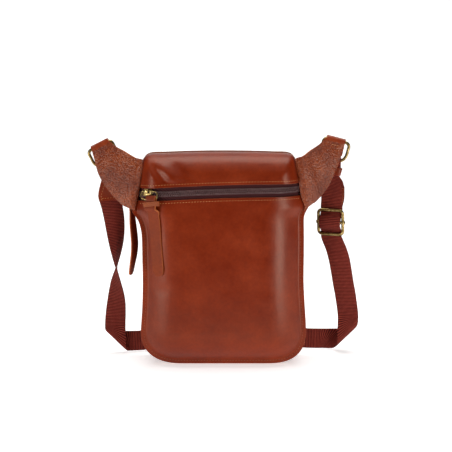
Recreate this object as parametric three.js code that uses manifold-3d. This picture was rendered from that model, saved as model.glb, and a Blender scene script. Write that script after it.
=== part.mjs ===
// A small leather crossbody bag that stands on its base. It has a front zip pocket, a main zip over the top,
// two leather wings that carry brass rings, and a webbing strap that falls to the ground and passes behind.
// Millimetres. +Z is up, the front faces -Y, and the origin lies under the middle of the base.
import * as THREE from 'three';
import { mergeVertices } from 'three/addons/utils/BufferGeometryUtils.js';
import Module from 'manifold-3d';

const wasm = await Module();
wasm.setup();

// Bag body
const bodyHeight = 251;
const bodyWidth = 196;
const bodyDepth = 40;
const frontBulge = 17;
const backBulge = 9;
const crownDrop = 3.2;
const seamFlange = 6.5;
const wingTuck = 2.3;
const leather = 1.8;
const gap = 0.3;
const cornerHeight = 45;
const cornerWidthLeft = 52;
const cornerWidthRight = 48;
const cornerPowerLeft = 2.42;
const cornerPowerRight = 2.7;
const topRollWidth = 24;
const topRollHeight = 28;
const topRollPower = 3.6;
const sideSwell = 3;
const fullness = 2.4;

// Zips
const zipOpening = 15;
const zipDrop = 44.7;
const zipSlope = 0.0303;
const zipCrown = 1.9;
const mainZipOpening = 14;
const tapeThickness = 0.8;
const tapeHold = 3;
const coilWidth = 6.5;
const coilHeight = 1.5;
const gussetDropLeft = 42;
const gussetDropRight = 37;

// Wings and their rings
const wingLeather = 2.2;
const wingFold = 1.5;
const wingReach = 62;
const wingRise = 82;
const wingLean = 18;
const wingFlap = 10;
const wingHump = 2.2;
const wingTurn = 0.6;
const ringWire = 3.6;
const ringInside = 27;
const ringAside = 1.6;
const ringDrop = 23.6;
const ringCorner = 10.8;
const ringTopCorner = 4.5;
const ringPlay = 1.2;

// Webbing strap and its leather
const strapWidth = 25;
const strapThickness = 1.6;
const webPlay = 0.25;
const strapStart = 8;
const wrapWidth = 20;
const wrapGap = 0.5;
const tabLeather = 1.5;
const tabLengthLeft = 38;
const tabLengthBuckle = 38;
const tabWidthBuckle = 22.5;
const foldRadius = 3.5;
const rollRadius = 8;
const keeperDrop = 6;
const keeperHeight = 9;
const keeperLeather = 1.4;

// Adjusting buckle
const buckleWire = 3.6;
const buckleInside = 26;
const buckleDrop = 29.5;
const buckleCorner = 4.5;
const eyeLength = 3.4;
const eyeWall = 0.8;

// Sliders and pulls
const sliderLength = 13;
const sliderWidth = 9.6;
const sliderPlate = 1.4;
const crownLength = 7;
const crownWidth = 5.6;
const crownHeight = 3.8;
const crownWall = 0.9;
const pullWire = 1.3;
const pullRingWidth = 22;
const pullRingHeight = 10.2;
const pullRingPower = 3;
const pullWidth = 13;
const pullLoopWidth = 11.6;
const pullLeather = 1.4;
const pullFold = 18;
const pullLoop = 1.85;
const pullKeeperWidth = 19.5;
const pullKeeperHeight = 5;
const pullKeeperTilt = 9;
const pullLoopAside = 3.4;
const pullKeeperAside = 4.3;
const frontPullLength = 97.4;
const topPullLength = 112.2;
const topSliderDrop = 34.6;

const halfWidth = bodyWidth / 2;
const halfDepth = bodyDepth / 2;
const zipHeight = bodyHeight - zipDrop;
const gussetTopLeft = bodyHeight - gussetDropLeft;
const gussetTopRight = bodyHeight - gussetDropRight;
const deg = Math.PI / 180;
const left = -1;
const right = 1;

// The seam edge of each side: up is a share of the body's height, out is a share of half its width.
const sideRows = {
  [left]: [
    { up: 0, out: 1.02 }, { up: 0.125, out: 1.004 }, { up: 0.2, out: 0.988 }, { up: 0.28, out: 0.973 },
    { up: 0.4, out: 0.963 }, { up: 0.52, out: 0.965 }, { up: 0.617, out: 0.968 }, { up: 0.664, out: 0.988 },
    { up: 0.691, out: 1.015 }, { up: 0.727, out: 1.074 }, { up: 0.757, out: 1.084 },
    { up: 0.797, out: 1.073 }, { up: 0.845, out: 1.052 }, { up: 0.904, out: 1.028 },
    { up: 0.964, out: 1.008 }, { up: 1.02, out: 0.99 },
  ],
  [right]: [
    { up: 0, out: 1.0 }, { up: 0.125, out: 0.999 }, { up: 0.2, out: 0.993 }, { up: 0.28, out: 0.978 },
    { up: 0.4, out: 0.96 }, { up: 0.52, out: 0.959 }, { up: 0.617, out: 0.957 }, { up: 0.68, out: 0.953 },
    { up: 0.71, out: 0.958 }, { up: 0.735, out: 0.985 }, { up: 0.754, out: 1.008 }, { up: 0.797, out: 0.985 },
    { up: 0.865, out: 0.96 }, { up: 0.932, out: 0.925 }, { up: 0.967, out: 0.912 }, { up: 1.02, out: 0.9 },
  ],
};

// The wings: along runs from the root to the tip, out is a share of wingReach from the root seam,
// up is a share of wingRise from the root's foot, and back is a share of wingLean.
const wingRows = {
  [left]: [
    { along: 0, upperOut: 0, upperUp: 0.734, lowerOut: 0.163, lowerUp: 0, back: 0 },
    { along: 0.25, upperOut: 0.16, upperUp: 0.773, lowerOut: 0.405, lowerUp: 0.105, back: 0.14 },
    { along: 0.5, upperOut: 0.379, upperUp: 0.861, lowerOut: 0.653, lowerUp: 0.291, back: 0.42 },
    { along: 0.75, upperOut: 0.545, upperUp: 0.923, lowerOut: 0.845, lowerUp: 0.517, back: 0.72 },
    { along: 0.9, upperOut: 0.635, upperUp: 0.972, lowerOut: 0.929, lowerUp: 0.74, back: 0.92 },
    { along: 1, upperOut: 0.664, upperUp: 0.99, lowerOut: 0.983, lowerUp: 0.868, back: 1 },
  ],
  [right]: [
    { along: 0, upperOut: 0, upperUp: 0.735, lowerOut: 0.189, lowerUp: 0, back: 0 },
    { along: 0.25, upperOut: 0.153, upperUp: 0.783, lowerOut: 0.413, lowerUp: 0.152, back: 0.14 },
    { along: 0.5, upperOut: 0.302, upperUp: 0.857, lowerOut: 0.615, lowerUp: 0.329, back: 0.42 },
    { along: 0.75, upperOut: 0.474, upperUp: 0.939, lowerOut: 0.815, lowerUp: 0.648, back: 0.72 },
    { along: 0.9, upperOut: 0.561, upperUp: 1.0, lowerOut: 0.9, lowerUp: 0.84, back: 0.92 },
    { along: 1, upperOut: 0.604, upperUp: 1.022, lowerOut: 0.95, lowerUp: 0.955, back: 1 },
  ],
};

// The strap's fall at each side: down runs from the metal above to the fold below, aside is a share of the
// strap's width, and turn is the angle in degrees that its face has turned by.
const fallLeft = [
  { down: 0.19, aside: -0.05, turn: 8 }, { down: 0.225, aside: 0.01, turn: 12 },
  { down: 0.26, aside: 0.07, turn: 18 }, { down: 0.33, aside: 0.15, turn: 27 },
  { down: 0.4, aside: 0.19, turn: 38 }, { down: 0.47, aside: 0.205, turn: 52 },
  { down: 0.53, aside: 0.205, turn: 66 }, { down: 0.6, aside: 0.19, turn: 84 },
  { down: 0.67, aside: 0.165, turn: 106 }, { down: 0.73, aside: 0.13, turn: 124 },
  { down: 0.79, aside: 0.12, turn: 140 }, { down: 0.85, aside: 0.1, turn: 154 },
  { down: 0.92, aside: 0.05, turn: 168 }, { down: 1, aside: 0, turn: 180 },
];
const fallRight = [
  { down: 0.12, aside: 0.14, turn: -14 }, { down: 0.25, aside: 0.17, turn: -8 },
  { down: 0.4, aside: 0.15, turn: -4 }, { down: 0.55, aside: 0.12, turn: 0 },
  { down: 0.7, aside: 0.1, turn: 0 }, { down: 0.85, aside: 0.06, turn: 0 },
];

// The strap's run behind the bag: across is a share of half the width, back is a share of the body's depth.
const runRows = [
  { across: -1.16, back: 0.78 }, { across: -1.0, back: 0.85 }, { across: -0.84, back: 1.15 },
  { across: -0.67, back: 1.65 }, { across: -0.49, back: 2.15 }, { across: -0.25, back: 2.57 },
  { across: 0, back: 2.72 }, { across: 0.25, back: 2.62 }, { across: 0.49, back: 2.25 },
  { across: 0.68, back: 1.75 }, { across: 0.85, back: 1.32 },
  { across: 1.02, back: 1.1 }, { across: 1.2, back: 1.05 },
];

// Where the strap meets the ground at each side, and where the buckle hangs.
const footLeft = { across: -1.35, back: 0.6 };
const footRight = { across: 1.555, back: 0.65 };
const buckleShares = { ofHalfWidth: 1.295, ofDepth: 0.13, ofHeight: 0.662 };
const buckleYaw = -21;
const bucklePitch = 6;

const materials = {
  smooth: { color: 0x8a3a1e, roughness: 0.38, metalness: 0 },
  pebbled: { color: 0x8e4020, roughness: 0.5, metalness: 0 },
  raw: { color: 0xb86534, roughness: 0.7, metalness: 0 },
  webbing: { color: 0x642420, roughness: 0.85, metalness: 0 },
  tape: { color: 0x3a1a22, roughness: 0.9, metalness: 0 },
  coil: { color: 0x4a2a34, roughness: 0.5, metalness: 0 },
  brass: { color: 0x8c7a48, roughness: 0.35, metalness: 1 },
};

const lerp = THREE.MathUtils.lerp;
const clamp = THREE.MathUtils.clamp;
const vec = (x, y, z) => new THREE.Vector3(x, y, z);

// An open surface made of four-sided blocks, with shared corners welded.
class Skin {
  constructor() {
    this.points = [];
    this.thickness = [];
    this.faces = [];
    this.index = new Map();
  }

  vertex(point, thickness) {
    const key = point.toArray().map((value) => Math.round(value * 500)).join();
    if (!this.index.has(key)) {
      this.index.set(key, this.points.length);
      this.points.push(point);
      this.thickness.push(thickness);
    }
    return this.index.get(key);
  }

  triangle(a, b, c) {
    if (a !== b && b !== c && c !== a) {
      this.faces.push([a, b, c]);
    }
  }

  rows(grid, thickness, flip = false) {
    const ids = grid.map((row, i) => row.map((point) => {
      const here = Array.isArray(thickness) ? thickness[i] : thickness;
      return this.vertex(point, here);
    }));
    for (let i = 0; i + 1 < ids.length; i += 1) {
      for (let j = 0; j + 1 < ids[i].length; j += 1) {
        const corners = [ids[i][j], ids[i + 1][j], ids[i + 1][j + 1], ids[i][j + 1]];
        const [a, b, c, d] = flip ? corners.reverse() : corners;
        const span = (from, to) => this.points[from].distanceTo(this.points[to]);
        if (span(a, c) <= span(b, d)) {
          this.triangle(a, b, c);
          this.triangle(a, c, d);
        } else {
          this.triangle(a, b, d);
          this.triangle(b, c, d);
        }
      }
    }
  }
}

function geometryFrom(points, faces) {
  let volume = 0;
  for (const [a, b, c] of faces) {
    volume += points[a].dot(points[b].clone().cross(points[c]));
  }
  const ordered = volume < 0 ? faces.map(([a, b, c]) => [a, c, b]) : faces;
  const geometry = new THREE.BufferGeometry();
  const flat = points.flatMap((point) => point.toArray());
  geometry.setAttribute('position', new THREE.Float32BufferAttribute(flat, 3));
  geometry.setIndex(ordered.flat());
  geometry.computeVertexNormals();
  return geometry;
}

// Gives an open surface its thickness: outer is the share of it that lies on the side of the normals.
function thicken(skin, outer) {
  const normals = skin.points.map(() => vec(0, 0, 0));
  const edges = new Map();
  for (const face of skin.faces) {
    const [a, b, c] = face.map((id) => skin.points[id]);
    const normal = b.clone().sub(a).cross(c.clone().sub(a));
    for (let k = 0; k < 3; k += 1) {
      normals[face[k]].add(normal);
      const from = face[k];
      const to = face[(k + 1) % 3];
      if (edges.has(`${to},${from}`)) {
        edges.delete(`${to},${from}`);
      } else {
        edges.set(`${from},${to}`, [from, to]);
      }
    }
  }
  const count = skin.points.length;
  const offset = (share) => skin.points.map((point, id) => {
    const normal = normals[id].clone().normalize();
    return point.clone().addScaledVector(normal, skin.thickness[id] * share);
  });
  const points = [...offset(outer), ...offset(outer - 1)];
  const faces = [...skin.faces, ...skin.faces.map(([a, b, c]) => [a + count, c + count, b + count])];
  for (const [from, to] of edges.values()) {
    faces.push([to, from, from + count], [to, from + count, to + count]);
  }
  return geometryFrom(points, faces);
}

function meshOf(name, geometry, material) {
  const mesh = new THREE.Mesh(geometry, new THREE.MeshStandardMaterial(materials[material]));
  mesh.name = name;
  return mesh;
}

function solidOf(geometry) {
  const bare = geometry.clone();
  bare.deleteAttribute('normal');
  bare.deleteAttribute('uv');
  const merged = mergeVertices(bare, 1e-4);
  const triVerts = new Uint32Array(merged.index.array);
  const vertProperties = new Float32Array(merged.attributes.position.array);
  return new wasm.Manifold(new wasm.Mesh({ numProp: 3, vertProperties, triVerts }));
}

function geometryOf(solid) {
  const mesh = solid.getMesh();
  const geometry = new THREE.BufferGeometry();
  geometry.setAttribute('position', new THREE.Float32BufferAttribute(Array.from(mesh.vertProperties), 3));
  geometry.setIndex(Array.from(mesh.triVerts));
  geometry.computeVertexNormals();
  return geometry;
}

function smoothTable(rows, key, value, at) {
  const last = rows.length - 1;
  const place = clamp(at, rows[0][key], rows[last][key]);
  let i = 0;
  while (i < last - 1 && rows[i + 1][key] < place) {
    i += 1;
  }
  const slope = (k) => {
    const before = rows[Math.max(k - 1, 0)];
    const after = rows[Math.min(k + 1, last)];
    return (after[value] - before[value]) / (after[key] - before[key]);
  };
  const span = rows[i + 1][key] - rows[i][key];
  const t = (place - rows[i][key]) / span;
  const rise = (1 + 2 * t) * (1 - t) ** 2 * rows[i][value] + t * t * (3 - 2 * t) * rows[i + 1][value];
  return rise + span * (t * (1 - t) ** 2 * slope(i) - t * t * (1 - t) * slope(i + 1));
}

// Body: the seam edge, the rounded corners and the swelling leather
function sideEdge(side, z) {
  return side * halfWidth * smoothTable(sideRows[side], 'up', 'out', z / bodyHeight);
}

const cornerWidth = { [left]: cornerWidthLeft, [right]: cornerWidthRight };
const cornerPower = { [left]: cornerPowerLeft, [right]: cornerPowerRight };

// The outline below the corner's height, with angle 0 at the side and a quarter turn at the bottom.
function cornerShares(power, angle, level) {
  return {
    side: level * Math.cos(angle) ** (2 / power),
    end: level * Math.sin(angle) ** (2 / power),
  };
}

function riseShare(side, towardSide, towardEnd, power) {
  const level = (towardSide ** power + towardEnd ** power) ** (1 / power);
  if (level < 1e-6) {
    return 1;
  }
  const weight = Math.hypot(towardSide, towardEnd);
  const reach = Math.hypot(towardSide * cornerWidth[side], towardEnd * cornerHeight) / weight;
  const inward = (1 - level) * reach;
  const share = clamp((inward - seamFlange) / (reach - seamFlange), 0, 1);
  return 1 - (1 - share) ** fullness;
}

// How far the outer face of a panel stands out from the bag's middle plane.
function panelDepth(x, z, bulge) {
  const side = x < 0 ? left : right;
  const inward = Math.abs(sideEdge(side, z)) - Math.abs(x);
  const towardSide = clamp(1 - inward / cornerWidth[side], 0, 1);
  const towardEnd = clamp(1 - z / cornerHeight, 0, 1);
  return halfDepth + bulge * riseShare(side, towardSide, towardEnd, cornerPower[side]);
}

const zipLine = (x) => zipHeight + zipSlope * x + zipCrown * (1 - (x / halfWidth) ** 2);
const crownLine = (x) => bodyHeight - crownDrop * (x / halfWidth) ** 2;

// The heights at which a column's place along the zip is read, as shares of the body's height
const panelTopShare = 0.8;
const yokeFootShare = 0.85;

// How many steps the faceted surfaces take round a corner and across the middle
const cornerSteps = 6;
const panelMiddle = 5;
const bottomSteps = 3;
const rollSteps = 5;
const yokeMiddle = 8;

// Rows up the sides, closer together where the outline flares
const sideShares = [0, 0.22, 0.43, 0.59, 0.69, 0.76, 0.82, 0.88, 0.94, 1];

const angles = (count) => Array.from({ length: count + 1 }, (_, k) => (k / count) * (Math.PI / 2));
const steps = (count) => Array.from({ length: count + 1 }, (_, k) => k / count);

// Levels from the seam edge, 1, to the middle, 0, with the flange's inner border as the second.
const panelShares = [1, 0.9, 0.78, 0.64, 0.46, 0.25, 0];

function panelLevels(side) {
  const border = 1 - seamFlange / cornerWidth[side];
  return [1, ...panelShares.map((share) => border * share)];
}

function panelSkin(facing, bulge, topLine) {
  const skin = new Skin();
  const at = (x, z) => vec(x, facing * panelDepth(x, z, bulge), z);
  const levelsLeft = panelLevels(left);
  for (const side of [left, right]) {
    const levels = panelLevels(side);
    const sideX = (z, level) => sideEdge(side, z) - side * cornerWidth[side] * (1 - level);
    skin.rows(sideShares.map((t) => levels.map((level) => {
      const top = topLine(sideX(panelTopShare * bodyHeight, level));
      const z = lerp(cornerHeight, top, t);
      return at(sideX(z, level), z);
    })), leather, side === right);
    skin.rows(angles(cornerSteps).map((angle) => levels.map((level) => {
      const share = cornerShares(cornerPower[side], angle, level);
      const z = cornerHeight * (1 - share.end);
      return at(sideX(z, share.side), z);
    })), leather, side === left);
  }
  const middle = steps(panelMiddle);
  const innerX = (side, z) => sideEdge(side, z) - side * cornerWidth[side];
  skin.rows(middle.map((t) => levelsLeft.map((_, k) => {
    const level = lerp(panelLevels(left)[k], panelLevels(right)[k], t);
    const z = cornerHeight * (1 - level);
    return at(lerp(innerX(left, z), innerX(right, z), t), z);
  })), leather, true);
  skin.rows(sideShares.map((up) => middle.map((t) => {
    const edges = [left, right].map((side) => {
      const top = topLine(innerX(side, panelTopShare * bodyHeight));
      const z = lerp(cornerHeight, top, up);
      return { x: innerX(side, z), z };
    });
    const x = lerp(edges[0].x, edges[1].x, t);
    const flatTop = lerp(cornerHeight, topLine(x), up);
    const rounded = t === 0 ? edges[0].z : flatTop;
    return at(x, t === 1 ? edges[1].z : rounded);
  })), leather);
  return skin;
}

// Yokes: the leather above the front zip, and its match at the back, rolled over to the main zip
const yokeInset = seamFlange - wingTuck;
const yokeEdge = (side, z) => sideEdge(side, z) - side * yokeInset;

function yokeSkin(facing, bulge, bottomLine) {
  const skin = new Skin();
  const zipHalf = mainZipOpening / 2;
  const full = halfDepth + bulge - zipHalf;
  const depth = (level) => zipHalf + full * Math.sqrt(Math.max(0, 1 - level * level));
  const levels = angles(6).map((angle) => Math.cos(angle));
  levels[levels.length - 1] = 0;
  const at = (x, z, level) => vec(x, facing * depth(level), z);
  const sideX = (side, z, share) => yokeEdge(side, z) - side * topRollWidth * (1 - share);
  const rollFoot = (side) => crownLine(sideX(side, bodyHeight, 0)) - topRollHeight;
  const sideSteps = 2;
  for (const side of [left, right]) {
    skin.rows(steps(sideSteps).map((t) => levels.map((level) => {
      const bottom = bottomLine(sideX(side, yokeFootShare * bodyHeight, level));
      const z = lerp(bottom, rollFoot(side), t);
      return at(sideX(side, z, level), z, level);
    })), leather, side === right);
    skin.rows(angles(rollSteps).map((angle) => levels.map((level) => {
      const share = cornerShares(topRollPower, angle, level);
      const z = rollFoot(side) + topRollHeight * share.end;
      return at(sideX(side, z, share.side), z, level);
    })), leather, side === right);
  }
  const across = steps(yokeMiddle);
  skin.rows(across.map((t) => levels.map((level) => {
    const ends = [left, right].map((side) => {
      const z = rollFoot(side) + topRollHeight * level;
      return sideX(side, z, 0);
    });
    const x = lerp(ends[0], ends[1], t);
    const foot = t === 0 ? rollFoot(left) : crownLine(x) - topRollHeight;
    return at(x, (t === 1 ? rollFoot(right) : foot) + topRollHeight * level, level);
  })), leather);
  skin.rows(steps(sideSteps).map((up) => across.map((t) => {
    const ends = [left, right].map((side) => {
      const z = lerp(bottomLine(sideX(side, yokeFootShare * bodyHeight, 0)), rollFoot(side), up);
      return { x: sideX(side, z, 0), z };
    });
    const x = lerp(ends[0].x, ends[1].x, t);
    const plain = lerp(bottomLine(x), crownLine(x) - topRollHeight, up);
    const z = t === 0 ? ends[0].z : plain;
    return at(x, t === 1 ? ends[1].z : z, 0);
  })), leather);
  return skin;
}

// The seam edge as one line of points, from the left top round the bottom to the right top
function seamLine(topLeft, topRight) {
  const line = [];
  for (const t of [...sideShares].reverse()) {
    const z = lerp(cornerHeight, topLeft, t);
    line.push(vec(sideEdge(left, z), 0, z));
  }
  for (const angle of angles(cornerSteps).slice(1)) {
    const share = cornerShares(cornerPowerLeft, angle, 1);
    const z = cornerHeight * (1 - share.end);
    line.push(vec(sideEdge(left, z) + cornerWidthLeft * (1 - share.side), 0, z));
  }
  const from = line[line.length - 1].x;
  const to = sideEdge(right, 0) - cornerWidthRight;
  for (const t of steps(bottomSteps).slice(1)) {
    line.push(vec(lerp(from, to, t), 0, 0));
  }
  for (const angle of angles(cornerSteps).slice(0, -1).reverse()) {
    const share = cornerShares(cornerPowerRight, angle, 1);
    const z = cornerHeight * (1 - share.end);
    line.push(vec(sideEdge(right, z) - cornerWidthRight * (1 - share.side), 0, z));
  }
  for (const t of sideShares.slice(1)) {
    const z = lerp(cornerHeight, topRight, t);
    line.push(vec(sideEdge(right, z), 0, z));
  }
  return line;
}

function inwardNormals(line) {
  return line.map((point, i) => {
    const before = line[Math.max(i - 1, 0)];
    const after = line[Math.min(i + 1, line.length - 1)];
    const along = after.clone().sub(before).normalize();
    return vec(-along.z, 0, along.x);
  });
}

// Gusset: a strip whose edges turn out as seam flanges behind the panels' own. The turn is flangeRoll wide
// and flangeRise deep, and bellowsShares say where the strip bends, as shares of the flange's depth.
const flangeRoll = 2;
const flangeRise = 1.2;
const bellowsShares = [0.78, 0.58];

function gussetSkin() {
  const line = seamLine(gussetTopLeft, gussetTopRight);
  const inward = inwardNormals(line);
  const flangeY = halfDepth - leather - gap - leather / 2;
  const bellows = [flangeY - flangeRise, ...bellowsShares.map((share) => flangeY * share)];
  const skin = new Skin();
  skin.rows(line.map((point, i) => {
    const bottomShare = clamp(inward[i].z, 0, 1) ** 3;
    const swell = lerp(sideSwell, seamFlange, bottomShare);
    const middle = (y) => {
      const share = Math.min(1, 1.6 * (1 - (y / flangeY) ** 2));
      return seamFlange + leather / 2 - swell * share;
    };
    const half = [
      { y: flangeY, inset: 0 },
      { y: flangeY, inset: seamFlange - flangeRoll },
      ...bellows.map((y) => ({ y, inset: middle(y) })),
    ];
    const profile = [...half.map((row) => ({ y: -row.y, inset: row.inset })), ...half.reverse()];
    return profile.map((row) => point.clone().addScaledVector(inward[i], row.inset).setY(row.y));
  }), leather);
  return skin;
}

// Zips: a tape behind the leather's edges and a raised coil along it
const yokeFull = (bulge) => halfDepth + bulge - mainZipOpening / 2;

function frontDepth(x) {
  const z = zipLine(x);
  const side = x < 0 ? left : right;
  const inward = Math.abs(yokeEdge(side, z)) - Math.abs(x);
  const level = clamp(1 - inward / topRollWidth, 0, 1);
  const yoke = mainZipOpening / 2 + yokeFull(frontBulge) * Math.sqrt(1 - level * level);
  return Math.min(panelDepth(x, z, frontBulge), yoke);
}

// The leather's thickness measured along Y, which grows where the front slopes.
function slopeFactor(x) {
  const step = 1;
  const slope = (frontDepth(x + step) - frontDepth(x - step)) / (2 * step);
  return Math.min(Math.hypot(1, slope), 1.9);
}

function tapeDepth(x) {
  return frontDepth(x) - (leather + gap + tapeThickness / 2) * slopeFactor(x);
}

function coilDepth(x) {
  return tapeDepth(x) + (tapeThickness / 2 + gap + coilHeight / 2) * slopeFactor(x);
}

function frontZipColumns(count, clearOfSeam) {
  const startX = sideEdge(left, zipHeight) + seamFlange + clearOfSeam;
  const endX = sideEdge(right, zipHeight) - seamFlange - clearOfSeam;
  return steps(count).map((t) => lerp(startX, endX, t));
}

function frontZipTape() {
  const reach = zipOpening / 2 + tapeHold;
  const skin = new Skin();
  skin.rows(frontZipColumns(18, leather * 3).map((x) => {
    return [-1, 0, 1].map((t) => vec(x, -tapeDepth(x), zipLine(x) + t * reach));
  }), tapeThickness);
  return meshOf('front_zip_tape', thicken(skin, 0.5), 'tape');
}

function frontZipCoil() {
  const skin = new Skin();
  skin.rows(frontZipColumns(18, leather * 3 + gap).map((x) => {
    return [-1, 0, 1].map((t) => vec(x, -coilDepth(x), zipLine(x) + (t * coilWidth) / 2));
  }), coilHeight);
  return meshOf('front_zip_coil', thicken(skin, 0.5), 'coil');
}

// The line that the main zip follows in the middle plane, from the left side over the top to the right
function mainZipLine() {
  const foot = (side) => crownLine(yokeEdge(side, bodyHeight) - side * topRollWidth) - topRollHeight;
  const line = [];
  const half = (side) => {
    const start = (side === left ? gussetTopLeft : gussetTopRight) - tapeHold;
    const points = steps(3).map((t) => {
      const z = lerp(start, foot(side), t);
      return vec(yokeEdge(side, z), 0, z);
    });
    for (const angle of angles(6).slice(1)) {
      const share = cornerShares(topRollPower, angle, 1);
      const z = foot(side) + topRollHeight * share.end;
      points.push(vec(yokeEdge(side, z) - side * topRollWidth * (1 - share.side), 0, z));
    }
    return points;
  };
  line.push(...half(left));
  const from = line[line.length - 1].x;
  const rightHalf = half(right).reverse();
  for (const t of steps(8).slice(1, -1)) {
    const x = lerp(from, rightHalf[0].x, t);
    line.push(vec(x, 0, crownLine(x)));
  }
  line.push(...rightHalf);
  return line;
}

function mainZipStrip(name, halfSpan, inset, thickness, trim, material) {
  const line = mainZipLine();
  const inward = inwardNormals(line).map((normal) => normal.negate());
  const used = line.slice(trim, line.length - trim);
  const skin = new Skin();
  skin.rows(used.map((point, i) => [-1, 0, 1].map((t) => {
    return point.clone().addScaledVector(inward[i + trim], inset).setY(t * halfSpan);
  })), thickness);
  return meshOf(name, thicken(skin, 0.5), material);
}

const mainTapeInset = leather + gap * 3 + tapeThickness / 2;
const mainCoilInset = mainTapeInset - tapeThickness / 2 - gap - coilHeight / 2;

// A closed wire bent along a closed line of points, with the given number of faces round it
function wireGeometry(points, radius, across, sides) {
  const skin = new Skin();
  const count = points.length;
  const rows = points.map((point, i) => {
    const before = points[(i + count - 1) % count];
    const after = points[(i + 1) % count];
    const along = after.clone().sub(before).normalize();
    const outward = along.clone().cross(across).normalize();
    return Array.from({ length: sides + 1 }, (_, k) => {
      const angle = ((k % sides) / sides) * 2 * Math.PI;
      const rim = outward.clone().multiplyScalar(Math.cos(angle) * radius);
      return point.clone().add(rim).addScaledVector(across, Math.sin(angle) * radius);
    });
  });
  skin.rows([...rows, rows[0]], 0);
  return geometryFrom(skin.points, skin.faces);
}

// A rounded rectangle from 0 down to drop, in a plane given by two directions
function roundedLoop(centre, acrossAxis, downAxis, halfSpan, drop, topRadius, bottomRadius, bends) {
  const corners = [
    { x: halfSpan - topRadius, d: topRadius, r: topRadius, from: -90 },
    { x: halfSpan - bottomRadius, d: drop - bottomRadius, r: bottomRadius, from: 0 },
    { x: -halfSpan + bottomRadius, d: drop - bottomRadius, r: bottomRadius, from: 90 },
    { x: -halfSpan + topRadius, d: topRadius, r: topRadius, from: 180 },
  ];
  return corners.flatMap((corner) => steps(bends).map((t) => {
    const angle = (corner.from + 90 * t) * deg;
    const x = corner.x + corner.r * Math.cos(angle);
    const d = corner.d + corner.r * Math.sin(angle);
    return centre.clone().addScaledVector(acrossAxis, x).addScaledVector(downAxis, d);
  }));
}

// Wings: pebbled leather that leaves the seam edge, leans back and rolls round the ring's bar
const footSpread = 0.06;
const wingFoot = { [left]: 0.728, [right]: 0.732 };
const rollRadiusMid = (ringWire + ringPlay + wingFold) / 2;

function wingPoint(side, along, t) {
  const rows = wingRows[side];
  const read = (value) => smoothTable(rows, 'along', value, along);
  const foot = wingFoot[side] * bodyHeight;
  const seam = (z) => Math.abs(sideEdge(side, z)) - seamFlange;
  const rootTop = seam(foot + rows[0].upperUp * wingRise);
  const out = lerp(read('upperOut'), read('lowerOut'), t) * wingReach;
  const z = foot + lerp(read('upperUp'), read('lowerUp'), t) * wingRise;
  const free = rootTop + out;
  const sewn = seam(z) + wingReach * footSpread * t ** 6;
  const x = lerp(sewn, free, Math.min(1, along * 5));
  const hump = wingHump * Math.sin(Math.PI * t) * Math.sin(Math.PI * Math.min(1, along));
  const beyond = Math.max(0, x - Math.abs(sideEdge(side, z)) - gap * 3);
  const back = Math.min(read('back') * wingLean, beyond * wingTurn);
  return vec(side * x, back - hump - (halfDepth + gap * 2 + wingLeather / 2), z);
}

function wingTip(side) {
  const upper = wingPoint(side, 1, 0);
  const lower = wingPoint(side, 1, 1);
  const middle = upper.clone().lerp(lower, 0.5);
  const bar = lower.clone().sub(upper).normalize();
  const towardTip = middle.clone().sub(wingPoint(side, 0.75, 0.5));
  towardTip.addScaledVector(bar, -towardTip.dot(bar)).normalize();
  const front = bar.clone().cross(towardTip).normalize();
  if (front.y > 0) {
    front.negate();
  }
  const centre = middle.clone().addScaledVector(bar, ringAside).addScaledVector(front, -rollRadiusMid);
  const hang = vec(0, 0, -1).addScaledVector(bar, bar.z).normalize();
  const across = bar.clone().multiplyScalar(side);
  const out = across.clone().cross(hang).normalize();
  if (out.y > 0) {
    out.negate();
  }
  const bottom = centre.clone().addScaledVector(hang, ringDrop);
  return { upper, lower, bar, towardTip, front, centre, hang, across, out, bottom };
}

function wing(side, name) {
  const tip = wingTip(side);
  const columns = steps(6);
  const alongs = [0, 0.08, 0.2, 0.34, 0.48, 0.62, 0.76, 0.88];
  const rows = alongs.map((along) => columns.map((t) => wingPoint(side, along, t)));
  const thickness = alongs.map(() => wingLeather);
  const base = (t) => tip.upper.clone().lerp(tip.lower, t);
  const rollBy = (along, front) => columns.map((t) => {
    return base(t).addScaledVector(tip.front, front - rollRadiusMid).addScaledVector(tip.towardTip, along);
  });
  const turnEnd = 215;
  for (const t of steps(9)) {
    const angle = t * turnEnd * deg;
    rows.push(rollBy(rollRadiusMid * Math.sin(angle), rollRadiusMid * Math.cos(angle)));
    thickness.push(wingFold);
  }
  const endAngle = turnEnd * deg;
  const under = rollRadiusMid - wingLeather / 2 - gap * 2 - wingFold / 2;
  const run = (under - rollRadiusMid * Math.cos(endAngle)) / -Math.sin(endAngle);
  const turnDown = rollRadiusMid * Math.sin(endAngle) + run * Math.cos(endAngle);
  rows.push(rollBy(turnDown, under));
  rows.push(rollBy(turnDown - wingFlap, under - gap * 3));
  thickness.push(wingFold, wingFold);
  const skin = new Skin();
  skin.rows(rows, thickness);
  return meshOf(name, thicken(skin, 0.5), 'pebbled');
}

function hangingRing(side, name) {
  const tip = wingTip(side);
  const halfSpan = (ringInside + ringWire) / 2;
  const corners = [ringTopCorner, ringCorner];
  const loop = roundedLoop(tip.centre, tip.across, tip.hang, halfSpan, ringDrop, ...corners, 4);
  return meshOf(name, wireGeometry(loop, ringWire / 2, tip.out, 8), 'brass');
}

// Strap: a list of stations, each with a place, a direction across the webbing and perhaps its own width
function station(place, across, width) {
  return { place, across: across.clone().normalize(), width };
}

function frames(stations) {
  return stations.map((here, i) => {
    const before = stations[Math.max(i - 1, 0)].place;
    const after = stations[Math.min(i + 1, stations.length - 1)].place;
    const along = after.clone().sub(before).normalize();
    const lean = Math.sqrt(Math.max(0.2, 1 - along.dot(here.across) ** 2));
    const normal = here.across.clone().cross(along).normalize();
    return { ...here, along, lean, normal };
  });
}

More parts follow.
